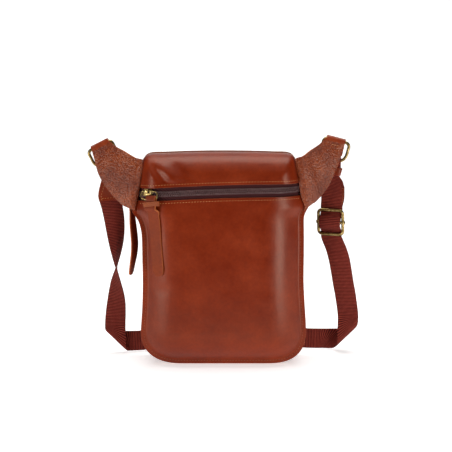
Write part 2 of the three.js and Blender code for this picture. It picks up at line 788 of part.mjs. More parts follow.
// How far webbing or leather rises where it lies over the ring's rounded corners
const ringInner = ringCorner - ringWire / 2;
const ringFlat = (ringInside + ringWire) / 2 - ringCorner;

function ringRise(aside) {
  const past = clamp(aside - ringFlat, 0, ringInner);
  return ringInner - Math.sqrt(ringInner ** 2 - past ** 2);
}

// A flat band along its stations. A station with a lift has its edges raised over the ring's corners.
const bandColumns = [-1, -0.55, 0.55, 1];

function band(stations, width, thickness) {
  const skin = new Skin();
  skin.rows(frames(stations).map((here) => bandColumns.map((t) => {
    const half = (here.width ?? width) / 2;
    const point = here.place.clone().addScaledVector(here.across, (t * half) / here.lean);
    return here.lift ? point.addScaledVector(here.lift, ringRise(Math.abs(t) * half)) : point;
  })), thickness);
  return thicken(skin, 0.5);
}

// The stations moved off their own faces, for a layer that lies beside them
function layerBeside(stations, offset) {
  return frames(stations).map((here) => {
    const place = here.place.clone().addScaledVector(here.normal, offset);
    return { place, across: here.across, width: here.width, lift: here.lift };
  });
}

// The first part of a list of stations, up to a length along them
function firstPart(stations, length) {
  const part = [stations[0]];
  let remaining = length;
  for (let i = 1; i < stations.length; i += 1) {
    const from = stations[i - 1];
    const to = stations[i];
    const step = from.place.distanceTo(to.place);
    if (step >= remaining) {
      const t = remaining / step;
      const place = from.place.clone().lerp(to.place, t);
      part.push(station(place, from.across.clone().lerp(to.across, t), from.width));
      return part;
    }
    remaining -= step;
    part.push(to);
  }
  return part;
}

// Half a turn round a bar, from its front over the side that lift points to and down behind it
function halfTurn(centre, front, lift, radius, across, width, raised) {
  return steps(6).map((t) => {
    const angle = t * Math.PI;
    const place = centre.clone()
      .addScaledVector(front, radius * Math.cos(angle))
      .addScaledVector(lift, radius * Math.sin(angle));
    return { place, across, width, lift: raised ? lift : undefined };
  });
}

// Leather folded over a bar, with one leg of the given length on each face of the webbing
function foldedTab(web, length, turn, width, step) {
  const [front, back] = [step, -step].map((offset) => firstPart(layerBeside(web, offset), length));
  return band([...front.reverse(), ...turn, ...back], width, tabLeather);
}

const down = vec(0, 0, -1);
const faceWidth = vec(1, 0, 0);

function turned(angle) {
  return vec(Math.cos(angle * deg), Math.sin(angle * deg), 0);
}

// A fold round a slanted axis: the webbing arrives along one direction and leaves along another.
function foldStations(centre, axis, outside, radius, fromFront, sign, count) {
  const depth = vec(0, fromFront ? -1 : 1, 0);
  return steps(count).map((t) => {
    const angle = t * Math.PI;
    const place = centre.clone()
      .addScaledVector(depth, radius * Math.cos(angle))
      .addScaledVector(outside, radius * Math.sin(angle))
      .addScaledVector(axis, radius * (angle - Math.PI / 2));
    return station(place, axis.clone().multiplyScalar(sign));
  });
}

const edgeUp = strapWidth / 2 + gap * 2;
const slantDown = vec(1, 0, -1).normalize();
const slantOutLeft = vec(-1, 0, -1).normalize();
const slantUp = vec(1, 0, 1).normalize();
const slantOutRight = vec(1, 0, -1).normalize();

function leftFold() {
  const drop = foldRadius * (Math.PI / 2) * Math.SQRT1_2;
  const back = footLeft.back * bodyDepth + foldRadius;
  const centre = vec(footLeft.across * halfWidth + drop, back, edgeUp + drop);
  return foldStations(centre, slantDown, slantOutLeft, foldRadius, true, -1, 6);
}

function rightFold() {
  const drop = rollRadius * (Math.PI / 2) * Math.SQRT1_2;
  const back = footRight.back * bodyDepth + rollRadius;
  const centre = vec(footRight.across * halfWidth - drop, back, edgeUp + drop);
  return foldStations(centre, slantUp, slantOutRight, rollRadius, false, 1, 7);
}

function fall(top, bottom, rows, startAcross) {
  return rows.map((row) => {
    const place = top.clone().lerp(bottom, row.down);
    place.x += row.aside * strapWidth;
    const blend = clamp(row.down * 4, 0, 1);
    return station(place, startAcross.clone().lerp(turned(row.turn), blend));
  });
}

// The left end: from under the left ring to the ground
const landingShare = 0.62;
const riseStart = 0.15;
const strapHang = 12;

function leftFallStations() {
  const tip = wingTip(left);
  const start = [
    station(tip.bottom.clone().addScaledVector(tip.hang, strapStart), tip.across, strapWidth - 1),
    station(tip.bottom.clone().addScaledVector(tip.hang, strapHang), tip.across),
  ];
  const fold = leftFold();
  const landing = fold[0].place.clone().addScaledVector(down, -strapWidth * landingShare);
  return [...start, ...fall(tip.bottom, landing, fallLeft, tip.across), ...fold];
}

function runStations() {
  return runRows.map((row) => {
    return station(vec(row.across * halfWidth, row.back * bodyDepth, edgeUp), vec(0, 0, 1));
  });
}

// The buckle's own directions: bar along its bars, side down its sides, face out of its front
function buckleFrame() {
  const yaw = buckleYaw * deg;
  const pitch = bucklePitch * deg;
  const bar = vec(Math.cos(yaw), Math.sin(yaw), 0);
  const back = vec(-Math.sin(yaw), Math.cos(yaw), 0);
  const side = down.clone().multiplyScalar(Math.cos(pitch)).addScaledVector(back, Math.sin(pitch));
  const face = side.clone().cross(bar).normalize();
  if (face.y > 0) {
    face.negate();
  }
  const centre = vec(
    buckleShares.ofHalfWidth * halfWidth,
    buckleShares.ofDepth * bodyDepth,
    buckleShares.ofHeight * bodyHeight,
  );
  const at = (s, n) => centre.clone().addScaledVector(side, s).addScaledVector(face, n);
  return { bar, side, face, centre, at };
}

const layerStep = strapThickness / 2 + gap + tabLeather / 2;
const underBar = buckleWire / 2 + gap + strapThickness / 2 + webPlay;
const overBar = buckleWire / 2 + gap * 2 + tabLeather + strapThickness / 2 + gap;
const rearStep = 2 * layerStep + gap * 4;

// The webbing's way through the buckle, upward: behind the lower bar, over the middle one, then behind the
// upper one.
// down is a share of half the buckle's drop, and front is a share of one of the two clearances above.
const weaveRows = [
  { down: 1.3, under: 1.05, over: 0 }, { down: 0.963, under: 1, over: 0 },
  { down: 0.657, under: 0.33, over: 0 }, { down: 0.36, under: 0, over: 0.68 },
  { down: 0, under: 0, over: 1 }, { down: -0.36, under: 0, over: 0.68 },
  { down: -0.657, under: 0.33, over: 0 }, { down: -0.963, under: 1, over: 0 },
  { down: -1.2, under: 1.02, over: 0 },
];

// The webbing's end behind the front layer, from near the middle bar up past the upper bar
const rearRows = [
  { down: -0.328, step: 0.64, under: 0 }, { down: -0.657, step: 1.3, under: 0 },
  { down: -0.963, step: 1, under: 0.95 }, { down: -1.25, step: 1, under: 1.05 },
];

function buckleStations(rows) {
  const buckle = buckleFrame();
  const half = buckleDrop / 2;
  return rows.map((row) => {
    const front = (row.over ?? 0) * overBar - row.under * underBar - (row.step ?? 0) * rearStep;
    return station(buckle.at(row.down * half, front), buckle.bar);
  });
}

const webRadius = ringWire / 2 + wrapGap + strapThickness / 2;
const webPinch = strapThickness / 2 + gap;

// The strap's two layers between the buckle and the right ring, both listed upward. front and rear are how
// far each layer stands aside, as shares of the strap's width, and apart is a share of their distance at the
// buckle.
const spanRows = [
  { up: 0.25, front: 0.06, apart: 1, rear: 0.05 }, { up: 0.5, front: 0.06, apart: 1, rear: 0.07 },
  { up: 0.68, front: 0.02, apart: 0.96, rear: 0.05 },
];

function rightSpan() {
  const tip = wingTip(right);
  const from = buckleStations(weaveRows).pop();
  const rear = buckleStations(rearRows);
  const rearFrom = rear[rear.length - 1];
  const near = (sign, along) => station(tip.bottom.clone()
    .addScaledVector(tip.out, sign * webPinch)
    .addScaledVector(tip.hang, along), tip.across);
  const pinches = [keeperDrop + keeperHeight + gap * 2, keeperDrop];
  const front = spanRows.map((row) => {
    const place = from.place.clone().lerp(near(1, pinches[0]).place, row.up);
    place.x += row.front * strapWidth;
    return station(place, from.across.clone().lerp(tip.across, row.up));
  });
  const apart = rearFrom.place.clone().sub(from.place);
  const rearSpan = spanRows.map((row, i) => {
    const place = front[i].place.clone().addScaledVector(apart, row.apart);
    place.x += row.rear * strapWidth;
    return { ...front[i], place };
  });
  return {
    tip,
    front: [...front, ...pinches.map((along) => near(1, along))],
    rear: [...rear, ...rearSpan, ...pinches.map((along) => near(-1, along))],
  };
}

function strapStations() {
  const rolled = rightFold();
  const weave = buckleStations(weaveRows);
  const takeOff = rolled[rolled.length - 1].place.clone().addScaledVector(down, -strapWidth * landingShare);
  const riseTop = weave[0].place.clone().addScaledVector(buckleFrame().side, buckleDrop * riseStart);
  const rise = fall(riseTop, takeOff, fallRight, weave[0].across);
  const span = rightSpan();
  const { tip } = span;
  const lift = tip.hang.clone().negate();
  return [
    ...leftFallStations(),
    ...runStations(),
    ...rolled,
    station(takeOff, faceWidth),
    ...rise.reverse(),
    ...weave,
    ...span.front,
    ...halfTurn(tip.bottom, tip.out, lift, webRadius, tip.across, wrapWidth, true),
    ...span.rear.reverse(),
  ];
}

// Leather at the strap's two ends
function leftTab() {
  const tip = wingTip(left);
  const radius = ringWire / 2 + wrapGap + tabLeather / 2;
  const lift = tip.hang.clone().negate();
  const turn = halfTurn(tip.bottom, tip.out, lift, radius, tip.across, wrapWidth, true);
  const folded = foldedTab(leftFallStations(), tabLengthLeft, turn, strapWidth, -layerStep);
  return meshOf('strap_tab_left', folded, 'smooth');
}

function buckleTab() {
  const buckle = buckleFrame();
  const web = rightSpan().rear;
  const radius = buckleWire / 2 + gap + tabLeather / 2;
  const along = web[0].place.clone().sub(buckle.centre).normalize();
  const front = buckle.bar.clone().cross(along).normalize();
  if (front.dot(buckle.face) < 0) {
    front.negate();
  }
  const back = along.clone().negate();
  const turn = halfTurn(buckle.centre, front, back, radius, buckle.bar, tabWidthBuckle, false);
  const folded = foldedTab(web, tabLengthBuckle, turn, tabWidthBuckle, layerStep);
  return meshOf('strap_tab_buckle', folded, 'smooth');
}

// Turns an outline with an optional hole into a solid; the axes say where its own x, y and depth point.
function plateSolid(outline, hole, depth, centre, xAxis, yAxis) {
  const shape = new THREE.Shape(outline.map(([x, y]) => new THREE.Vector2(x, y)));
  if (hole) {
    shape.holes.push(new THREE.Path(hole.map(([x, y]) => new THREE.Vector2(x, y))));
  }
  const geometry = new THREE.ExtrudeGeometry(shape, { depth, bevelEnabled: false });
  const zAxis = xAxis.clone().cross(yAxis);
  geometry.applyMatrix4(new THREE.Matrix4().makeBasis(xAxis, yAxis, zAxis).setPosition(centre));
  return solidOf(geometry);
}

function cutCorners(halfX, halfY, cut) {
  return [
    [halfX - cut, -halfY], [halfX, -halfY + cut], [halfX, halfY - cut], [halfX - cut, halfY],
    [-halfX + cut, halfY], [-halfX, halfY - cut], [-halfX, -halfY + cut], [-halfX + cut, -halfY],
  ];
}

// A flat loop of leather with a slot through it
const loopCut = 0.7;

function loopSolid(halfX, halfY, wall, height, centre, xAxis, yAxis) {
  const zAxis = xAxis.clone().cross(yAxis);
  const start = centre.clone().addScaledVector(zAxis, -height / 2);
  const outline = cutCorners(halfX + wall, halfY + wall, wall * loopCut);
  return plateSolid(outline, cutCorners(halfX, halfY, gap), height, start, xAxis, yAxis);
}

function strapKeeper() {
  const { tip } = rightSpan();
  const centre = tip.bottom.clone().addScaledVector(tip.hang, keeperDrop + gap + keeperHeight / 2);
  const halfY = webPinch + strapThickness / 2 + gap * 2;
  const halfX = strapWidth / 2 + gap * 3;
  const solid = loopSolid(halfX, halfY, keeperLeather, keeperHeight, centre, tip.across, tip.out);
  return meshOf('strap_keeper_right', geometryOf(solid), 'smooth');
}

function buckleMetal() {
  const buckle = buckleFrame();
  const halfSpan = (buckleInside + buckleWire) / 2;
  const top = buckle.at(-buckleDrop / 2, 0);
  const loop = roundedLoop(top, buckle.bar, buckle.side, halfSpan, buckleDrop, buckleCorner, buckleCorner, 3);
  const frame = meshOf('buckle_frame', wireGeometry(loop, buckleWire / 2, buckle.face, 8), 'brass');
  const inner = buckleWire / 2 + gap;
  const outer = inner + eyeWall;
  const half = eyeLength / 2;
  const profile = [[inner, -half], [outer, -half], [outer, half], [inner, half], [inner, -half]];
  const face = buckle.bar.clone().cross(buckle.side);
  const ownAxes = new THREE.Matrix4().makeBasis(buckle.bar, buckle.side, face);
  const reach = halfSpan - inner - eyeWall / 2;
  const rod = new THREE.CylinderGeometry(buckleWire / 2, buckleWire / 2, reach * 2, 8);
  rod.rotateZ(Math.PI / 2).applyMatrix4(ownAxes).translate(...buckle.centre.toArray());
  let solid = solidOf(rod);
  for (const side of [left, right]) {
    const eye = new THREE.LatheGeometry(profile.map(([x, y]) => new THREE.Vector2(x, y)), 12);
    const place = buckle.centre.clone().addScaledVector(buckle.bar, side * halfSpan);
    eye.applyMatrix4(ownAxes).translate(...place.toArray());
    solid = solid.add(solidOf(eye));
  }
  return [frame, meshOf('buckle_bar', geometryOf(solid), 'brass')];
}

// Shares of a slider's, a ring's or a keeper's own size: its cut corners, and where the ring and the loop sit
const plateCut = 0.22;
const ringSeat = 0.45;
const ringCrossing = 0.87;
const loopSeat = 0.27;

// Sliders and pulls. A spot has a centre on the zip, an along axis, an up axis and an out axis.
function sliderSolid(spot) {
  const { centre, along, up, out } = spot;
  const [wide, high] = spot.upright ? [sliderWidth, sliderLength] : [sliderLength, sliderWidth];
  const plateOutline = cutCorners(wide / 2, high / 2, sliderWidth * plateCut);
  const plate = plateSolid(plateOutline, null, sliderPlate, centre, along, up);
  const half = crownWidth / 2;
  const inner = half - crownWall;
  const top = sliderPlate + crownHeight;
  const under = top - crownWall;
  const foot = sliderPlate / 2;
  const shoulder = crownWall * 1.5;
  const outline = [
    [-half, foot], [-inner, foot], [-inner, under - shoulder / 2], [-inner + shoulder / 2, under],
    [inner - shoulder / 2, under], [inner, under - shoulder / 2], [inner, foot], [half, foot],
    [half, top - shoulder], [half - shoulder, top], [-half + shoulder, top], [-half, top - shoulder],
  ];
  const crownStart = centre.clone()
    .addScaledVector(up, spot.crownUp)
    .addScaledVector(along, -crownLength / 2);
  return plate.add(plateSolid(outline, null, crownLength, crownStart, up, out));
}

// The pull's ring hangs in the crown, with its lower edge forward.
function pullRingFrame(spot) {
  const turn = spot.ringTurn * deg;
  const tilt = spot.ringTilt * deg;
  const along = spot.along.clone().multiplyScalar(Math.cos(turn)).addScaledVector(spot.out, -Math.sin(turn));
  const out = along.clone().cross(spot.up).normalize();
  const up = spot.up.clone().multiplyScalar(Math.cos(tilt)).addScaledVector(out, -Math.sin(tilt)).normalize();
  const face = along.clone().cross(up).normalize();
  const halfX = pullRingWidth / 2 - pullWire / 2;
  const halfY = pullRingHeight / 2;
  const crossing = spot.centre.clone()
    .addScaledVector(spot.up, spot.crownUp)
    .addScaledVector(spot.out, sliderPlate + (crownHeight - crownWall) * ringSeat);
  const centre = crossing.addScaledVector(along, crownLength / 2).addScaledVector(up, -halfY * ringCrossing);
  const at = (x, y, z) => {
    return centre.clone().addScaledVector(along, x).addScaledVector(up, y).addScaledVector(face, z);
  };
  return { along, up, face, halfX, halfY, at };
}

// The ring is an oval with fuller corners than an ellipse.
function pullRing(ring) {
  const count = 20;
  const share = (value) => Math.sign(value) * Math.abs(value) ** (2 / pullRingPower);
  const points = Array.from({ length: count }, (_, k) => {
    const angle = (k / count) * 2 * Math.PI;
    return ring.at(ring.halfX * share(Math.cos(angle)), ring.halfY * share(Math.sin(angle)), 0);
  });
  return wireGeometry(points, pullWire / 2, ring.face, 6);
}

const pullLayer = pullLeather / 2 + gap / 2;

function pullStrip(ring, hanging) {
  const arcUp = -ring.halfY + pullRingHeight * loopSeat;
  const low = -ring.halfY - pullWire / 2 - gap;
  const pinched = low - pullLeather;
  const keeperFoot = pinched - pullKeeperHeight - gap - pullKeeperWidth * Math.sin(pullKeeperTilt * deg);
  const middle = [pinched, keeperFoot].map((y) => station(ring.at(pullLoopAside, y, 0), ring.along));
  const path = [...middle, ...hanging];
  const legs = (offset) => layerBeside(path, offset);
  const sign = frames(path)[0].normal.dot(ring.face) > 0 ? 1 : -1;
  const neck = (z) => ({ place: ring.at(pullLoopAside, low, z), across: ring.along, width: pullLoopWidth });
  const arc = steps(6).map((t) => {
    const angle = t * Math.PI;
    const place = ring.at(pullLoopAside, arcUp + pullLoop * Math.sin(angle), pullLoop * Math.cos(angle));
    return { place, across: ring.along, width: pullLoopWidth };
  });
  const frontLeg = legs(sign * pullLayer).reverse();
  const backLeg = firstPart(legs(-sign * pullLayer), pullFold);
  return band([...frontLeg, neck(pullLoop), ...arc, neck(-pullLoop), ...backLeg], pullWidth, pullLeather);
}

function pullKeeper(ring) {
  const tilt = pullKeeperTilt * deg;
  const xAxis = ring.along.clone().multiplyScalar(Math.cos(tilt)).addScaledVector(ring.up, Math.sin(tilt));
  const low = -ring.halfY - pullWire / 2 - gap * 2 - pullLeather - pullKeeperHeight / 2;
  const halfX = pullKeeperWidth / 2 - pullLeather;
  const halfY = pullLayer + pullLeather / 2 + gap * 2;
  const centre = ring.at(pullKeeperAside, low, 0);
  return geometryOf(loopSolid(halfX, halfY, pullLeather, pullKeeperHeight, centre, xAxis, ring.face));
}

function zipPull(prefix, spot, hanging) {
  const ring = pullRingFrame(spot);
  return [
    meshOf(`${prefix}_slider`, geometryOf(sliderSolid(spot)), 'brass'),
    meshOf(`${prefix}_pull_ring`, pullRing(ring), 'brass'),
    meshOf(`${prefix}_pull`, pullStrip(ring, hanging), 'smooth'),
    meshOf(`${prefix}_pull_keeper`, pullKeeper(ring), 'raw'),
  ];
}

// The strips' falls: across is a share of half the width, down is a share of the strip's length below its
// zip, width is a share of the strip's own, off is how far it stands off the leather, as a share of its
// width, and turn is the angle in degrees that its face has turned by.
const frontPullRows = [
  { across: -0.815, down: 0.224, width: 1, off: 0.22 },
  { across: -0.79, down: 0.572, width: 1, off: 0.16 },
  { across: -0.768, down: 0.907, width: 1, off: 0.14 },
  { across: -0.765, down: 0.951, width: 0.93, off: 0.14 },
  { across: -0.764, down: 0.982, width: 0.72, off: 0.14 },
  { across: -0.763, down: 1, width: 0.36, off: 0.14 },
];
const topPullRows = [
  { across: -1.095, down: 0.273, width: 1, turn: 10 }, { across: -1.077, down: 0.452, width: 1, turn: 26 },
  { across: -1.06, down: 0.653, width: 1, turn: 30 }, { across: -1.067, down: 0.765, width: 1, turn: 28 },
  { across: -1.09, down: 0.888, width: 1, turn: 22 }, { across: -1.103, down: 0.955, width: 0.93, turn: 20 },
  { across: -1.108, down: 0.984, width: 0.72, turn: 20 }, { across: -1.111, down: 1, width: 0.36, turn: 20 },
];

// Where the sliders stand, with angles in degrees and lifts as shares of the slider's or the crown's own size
const frontPullYaw = -20;
const frontSlider = {
  across: -0.883, touch: 0.84, slope: -26, lift: 0.2, crownLift: 0.36, ringTurn: 3, ringTilt: 14,
};
const topSlider = { across: -1.008, forward: 0.16, crownLift: -0.36, ringTurn: 0, ringTilt: 30 };
const topPullForward = 0.31;

function frontPull() {
  const x = frontSlider.across * halfWidth;
  const touch = frontSlider.touch * halfWidth;
  const along = turned(frontSlider.slope);
  const up = vec(0, 0, 1);
  const out = along.clone().cross(up);
  const face = coilDepth(-touch) + (coilHeight / 2) * slopeFactor(-touch) + gap;
  const y = -face + (x + touch) * Math.tan(frontSlider.slope * deg);
  const centre = vec(x, y, zipLine(x) + frontSlider.lift * sliderWidth);
  const crownUp = frontSlider.crownLift * crownWidth;
  const spot = { ...frontSlider, centre, along, up, out, crownUp, upright: false };
  const across = turned(frontPullYaw);
  const half = (pullWidth / 2) * across.x;
  const hanging = frontPullRows.map((row) => {
    const place = vec(row.across * halfWidth, 0, zipHeight - row.down * frontPullLength);
    const behind = panelDepth(place.x + half, place.z, frontBulge) + row.off * pullWidth;
    place.y = -behind - (pullWidth / 2) * across.y;
    return station(place, across, row.width * pullWidth);
  });
  return zipPull('front', spot, hanging);
}

function topPull() {
  const height = bodyHeight - topSliderDrop;
  const centre = vec(topSlider.across * halfWidth, topSlider.forward * sliderWidth, height);
  const along = vec(0, -1, 0);
  const out = vec(-1, 0, 0);
  const crownUp = topSlider.crownLift * crownWidth;
  const spot = { ...topSlider, centre, along, up: vec(0, 0, 1), out, crownUp, upright: true };
  const hanging = topPullRows.map((row) => {
    const place = vec(row.across * halfWidth, -topPullForward * pullWidth, height - row.down * topPullLength);
    return station(place, turned(-90 - row.turn), row.width * pullWidth);
  });
  return zipPull('top', spot, hanging);
}

const bag = new THREE.Group();
const pocketTop = (x) => zipLine(x) - zipOpening / 2;
const yokeBottom = (x) => zipLine(x) + zipOpening / 2;
const backSeam = (x) => yokeBottom(x) - gap;
bag.add(meshOf('front_panel', thicken(panelSkin(-1, frontBulge, pocketTop), 1), 'smooth'));
bag.add(meshOf('back_panel', thicken(panelSkin(1, backBulge, backSeam), 0), 'smooth'));
bag.add(meshOf('front_yoke', thicken(yokeSkin(-1, frontBulge, yokeBottom), 1), 'smooth'));
bag.add(meshOf('back_yoke', thicken(yokeSkin(1, backBulge, yokeBottom), 0), 'smooth'));
bag.add(meshOf('gusset', thicken(gussetSkin(), 0.5), 'smooth'));
bag.add(frontZipTape(), frontZipCoil());
bag.add(mainZipStrip('top_zip_tape', mainZipOpening / 2 + tapeHold, mainTapeInset, tapeThickness, 0, 'tape'));
bag.add(mainZipStrip('top_zip_coil', coilWidth / 2, mainCoilInset, coilHeight, 1, 'coil'));
bag.add(wing(left, 'ear_left'), wing(right, 'ear_right'));
bag.add(hangingRing(left, 'ring_left'), hangingRing(right, 'ring_right'));
bag.add(meshOf('strap', band(strapStations(), strapWidth, strapThickness), 'webbing'));
bag.add(leftTab(), buckleTab(), strapKeeper(), ...buckleMetal());
bag.add(...frontPull(), ...topPull());

export default bag;
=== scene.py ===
import math
import bpy
import bmesh
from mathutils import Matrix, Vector, noise


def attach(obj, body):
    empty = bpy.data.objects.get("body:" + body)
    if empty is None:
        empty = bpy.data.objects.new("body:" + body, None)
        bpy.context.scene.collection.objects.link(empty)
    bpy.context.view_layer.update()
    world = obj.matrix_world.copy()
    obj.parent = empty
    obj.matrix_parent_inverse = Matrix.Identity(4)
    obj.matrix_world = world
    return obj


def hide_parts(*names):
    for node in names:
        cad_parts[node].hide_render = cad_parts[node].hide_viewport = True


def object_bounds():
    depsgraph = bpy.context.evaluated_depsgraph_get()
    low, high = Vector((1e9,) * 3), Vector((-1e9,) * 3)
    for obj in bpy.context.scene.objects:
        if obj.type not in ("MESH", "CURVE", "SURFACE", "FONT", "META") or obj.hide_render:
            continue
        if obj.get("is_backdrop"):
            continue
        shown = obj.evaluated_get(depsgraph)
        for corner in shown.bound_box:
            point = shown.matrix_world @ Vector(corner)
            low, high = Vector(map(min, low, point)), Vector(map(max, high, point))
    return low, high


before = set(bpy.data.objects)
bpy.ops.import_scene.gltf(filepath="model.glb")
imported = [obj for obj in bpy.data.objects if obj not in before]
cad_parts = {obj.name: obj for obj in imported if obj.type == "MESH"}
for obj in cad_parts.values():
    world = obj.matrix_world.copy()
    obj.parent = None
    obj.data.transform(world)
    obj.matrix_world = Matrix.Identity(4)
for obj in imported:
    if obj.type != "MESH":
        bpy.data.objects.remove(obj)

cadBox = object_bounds()
for name in ("Cube", "Light", "Camera"):
    if name in bpy.data.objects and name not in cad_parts:
        bpy.data.objects.remove(bpy.data.objects[name])
mm = 0.001
leftSide, rightSide = -1, 1
print("frame loaded:", len(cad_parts), "nodes")

# the bag's own sizes in mm, the same as in the solids
body = dict(height=251, width=196, depth=40, frontBulge=17, backBulge=9, crownDrop=3.2, flange=6.5,
            leather=1.8, gap=0.3, cornerHeight=45, rollWidth=24, rollHeight=28, rollPower=4.6, swell=3,
            fullness=2.4, gussetTopLeft=209, gussetTopRight=214)
halfWidth, halfDepth = body["width"] / 2, body["depth"] / 2
gap = body["gap"]
cornerWidth = {leftSide: 52, rightSide: 48}
cornerPower = {leftSide: 2.42, rightSide: 2.7}
sideRows = {
    leftSide: [(0, 1.02), (0.125, 1.004), (0.2, 0.988), (0.28, 0.973), (0.4, 0.963), (0.52, 0.965),
               (0.617, 0.968),
               (0.664, 0.988), (0.691, 1.015), (0.727, 1.074), (0.757, 1.084), (0.797, 1.073),
               (0.845, 1.052),
               (0.904, 1.028), (0.964, 1.008), (1.02, 0.99)],
    rightSide: [(0, 1.0), (0.125, 0.999), (0.2, 0.993), (0.28, 0.978), (0.4, 0.96), (0.52, 0.959),
                (0.617, 0.957),
                (0.68, 0.953), (0.71, 0.958), (0.735, 0.985), (0.754, 1.008), (0.797, 0.985), (0.865, 0.96),
                (0.932, 0.925), (0.967, 0.912), (1.02, 0.9)],
}
zips = dict(opening=15, height=206.3, slope=0.0303, crown=1.9, mainOpening=14, tape=0.8, hold=3,
            coilWidth=6.5, coilHeight=1.5, toothPitch=2)


def lerp(a, b, t):
    return a + (b - a) * t


def clamp(value, low, high):
    return max(low, min(high, value))


def steps(count):
    return [k / count for k in range(count + 1)]


def smoothTable(rows, at):
    last = len(rows) - 1
    place = clamp(at, rows[0][0], rows[last][0])
    i = 0
    while i < last - 1 and rows[i + 1][0] < place:
        i += 1

    def slope(k):
        before, after = rows[max(k - 1, 0)], rows[min(k + 1, last)]
        return (after[1] - before[1]) / (after[0] - before[0])

    span = rows[i + 1][0] - rows[i][0]
    t = (place - rows[i][0]) / span
    rise = (1 + 2 * t) * (1 - t) ** 2 * rows[i][1] + t * t * (3 - 2 * t) * rows[i + 1][1]
    return rise + span * (t * (1 - t) ** 2 * slope(i) - t * t * (1 - t) * slope(i + 1))


# --- shape of the body
def sideEdge(side, z):
    return side * halfWidth * smoothTable(sideRows[side], z / body["height"])


def cornerShare(power, angle, level):
    return level * math.cos(angle) ** (2 / power), level * math.sin(angle) ** (2 / power)


def riseShare(side, towardSide, towardEnd, power):
    level = (towardSide ** power + towardEnd ** power) ** (1 / power)
    if level < 1e-6:
        return 1
    weight = math.hypot(towardSide, towardEnd)
    reach = math.hypot(towardSide * cornerWidth[side], towardEnd * body["cornerHeight"]) / weight
    share = clamp(((1 - level) * reach - body["flange"]) / (reach - body["flange"]), 0, 1)
    return 1 - (1 - share) ** body["fullness"]


def panelDepth(x, z, bulge):
    side = leftSide if x < 0 else rightSide
    inward = abs(sideEdge(side, z)) - abs(x)
    towardSide = clamp(1 - inward / cornerWidth[side], 0, 1)
    towardEnd = clamp(1 - z / body["cornerHeight"], 0, 1)
    return halfDepth + bulge * riseShare(side, towardSide, towardEnd, cornerPower[side])


def zipLine(x):
    return zips["height"] + zips["slope"] * x + zips["crown"] * (1 - (x / halfWidth) ** 2)


def crownLine(x):
    return body["height"] - body["crownDrop"] * (x / halfWidth) ** 2


def quarter(count):
    return [k / count * math.pi / 2 for k in range(count + 1)]


def newSurface():
    return dict(points=[], index={}, faces=[], uvs=[])


def addRows(surface, rows, uvRows=None):
    # welds a block of rows to what is there already
    ids = []
    for i, row in enumerate(rows):
        line = []
        for j, point in enumerate(row):
            key = tuple(round(value * 100) for value in point)
            if key not in surface["index"]:
                surface["index"][key] = len(surface["points"])
                surface["points"].append(Vector(point))
                surface["uvs"].append(uvRows[i][j] if uvRows else (point[0], point[2]))
            line.append(surface["index"][key])
        ids.append(line)
    for upper, lower in zip(ids, ids[1:]):
        for j in range(len(upper) - 1):
            quad = []
            for corner in (upper[j], lower[j], lower[j + 1], upper[j + 1]):
                if corner not in quad:
                    quad.append(corner)
            if len(quad) > 2:
                surface["faces"].append(quad)


def panelSurface(facing, bulge, topLine, relief, sideCount=64, cornerCount=22, middleCount=44):
    surface = newSurface()

    def at(x, z):
        return (x, facing * (panelDepth(x, z, bulge) + relief(x, z)), z)

    def levelsOf(side):
        border = 1 - body["flange"] / cornerWidth[side]
        return [lerp(1, border, t) for t in steps(4)] + [border * (1 - t) ** 1.0 for t in steps(26)[1:]]

    def innerX(side, z):
        return sideEdge(side, z) - side * cornerWidth[side]

    topAt = body["height"] * 0.8
    for side in (leftSide, rightSide):
        def sideX(z, level):
            return sideEdge(side, z) - side * cornerWidth[side] * (1 - level)
        addRows(surface, [[at(sideX(z, level), z) for level in levelsOf(side)
                           for z in [lerp(body["cornerHeight"], topLine(sideX(topAt, level)), t)]]
                          for t in steps(sideCount)])
        rows = []
        for angle in quarter(cornerCount):
            row = []
            for level in levelsOf(side):
                toSide, toEnd = cornerShare(cornerPower[side], angle, level)
                z = body["cornerHeight"] * (1 - toEnd)
                row.append(at(sideX(z, toSide), z))
            rows.append(row)
        addRows(surface, rows)
    rows = []
    for t in steps(middleCount):
        row = []
        for k in range(len(levelsOf(leftSide))):
            level = lerp(levelsOf(leftSide)[k], levelsOf(rightSide)[k], t)
            z = body["cornerHeight"] * (1 - level)
            row.append(at(lerp(innerX(leftSide, z), innerX(rightSide, z), t), z))
        rows.append(row)
    addRows(surface, rows)
    rows = []
    for up in steps(sideCount):
        ends = []
        for side in (leftSide, rightSide):
            z = lerp(body["cornerHeight"], topLine(innerX(side, topAt)), up)
            ends.append((innerX(side, z), z))
        row = []
        for t in steps(middleCount):
            x = lerp(ends[0][0], ends[1][0], t)
            z = lerp(body["cornerHeight"], topLine(x), up)
            if t == 0:
                z = ends[0][1]
            if t == 1:
                z = ends[1][1]
            row.append(at(x, z))
        rows.append(row)
    addRows(surface, rows)
    return surface


yokeInset = body["flange"] - 2.3


def yokeEdge(side, z):
    return sideEdge(side, z) - side * yokeInset


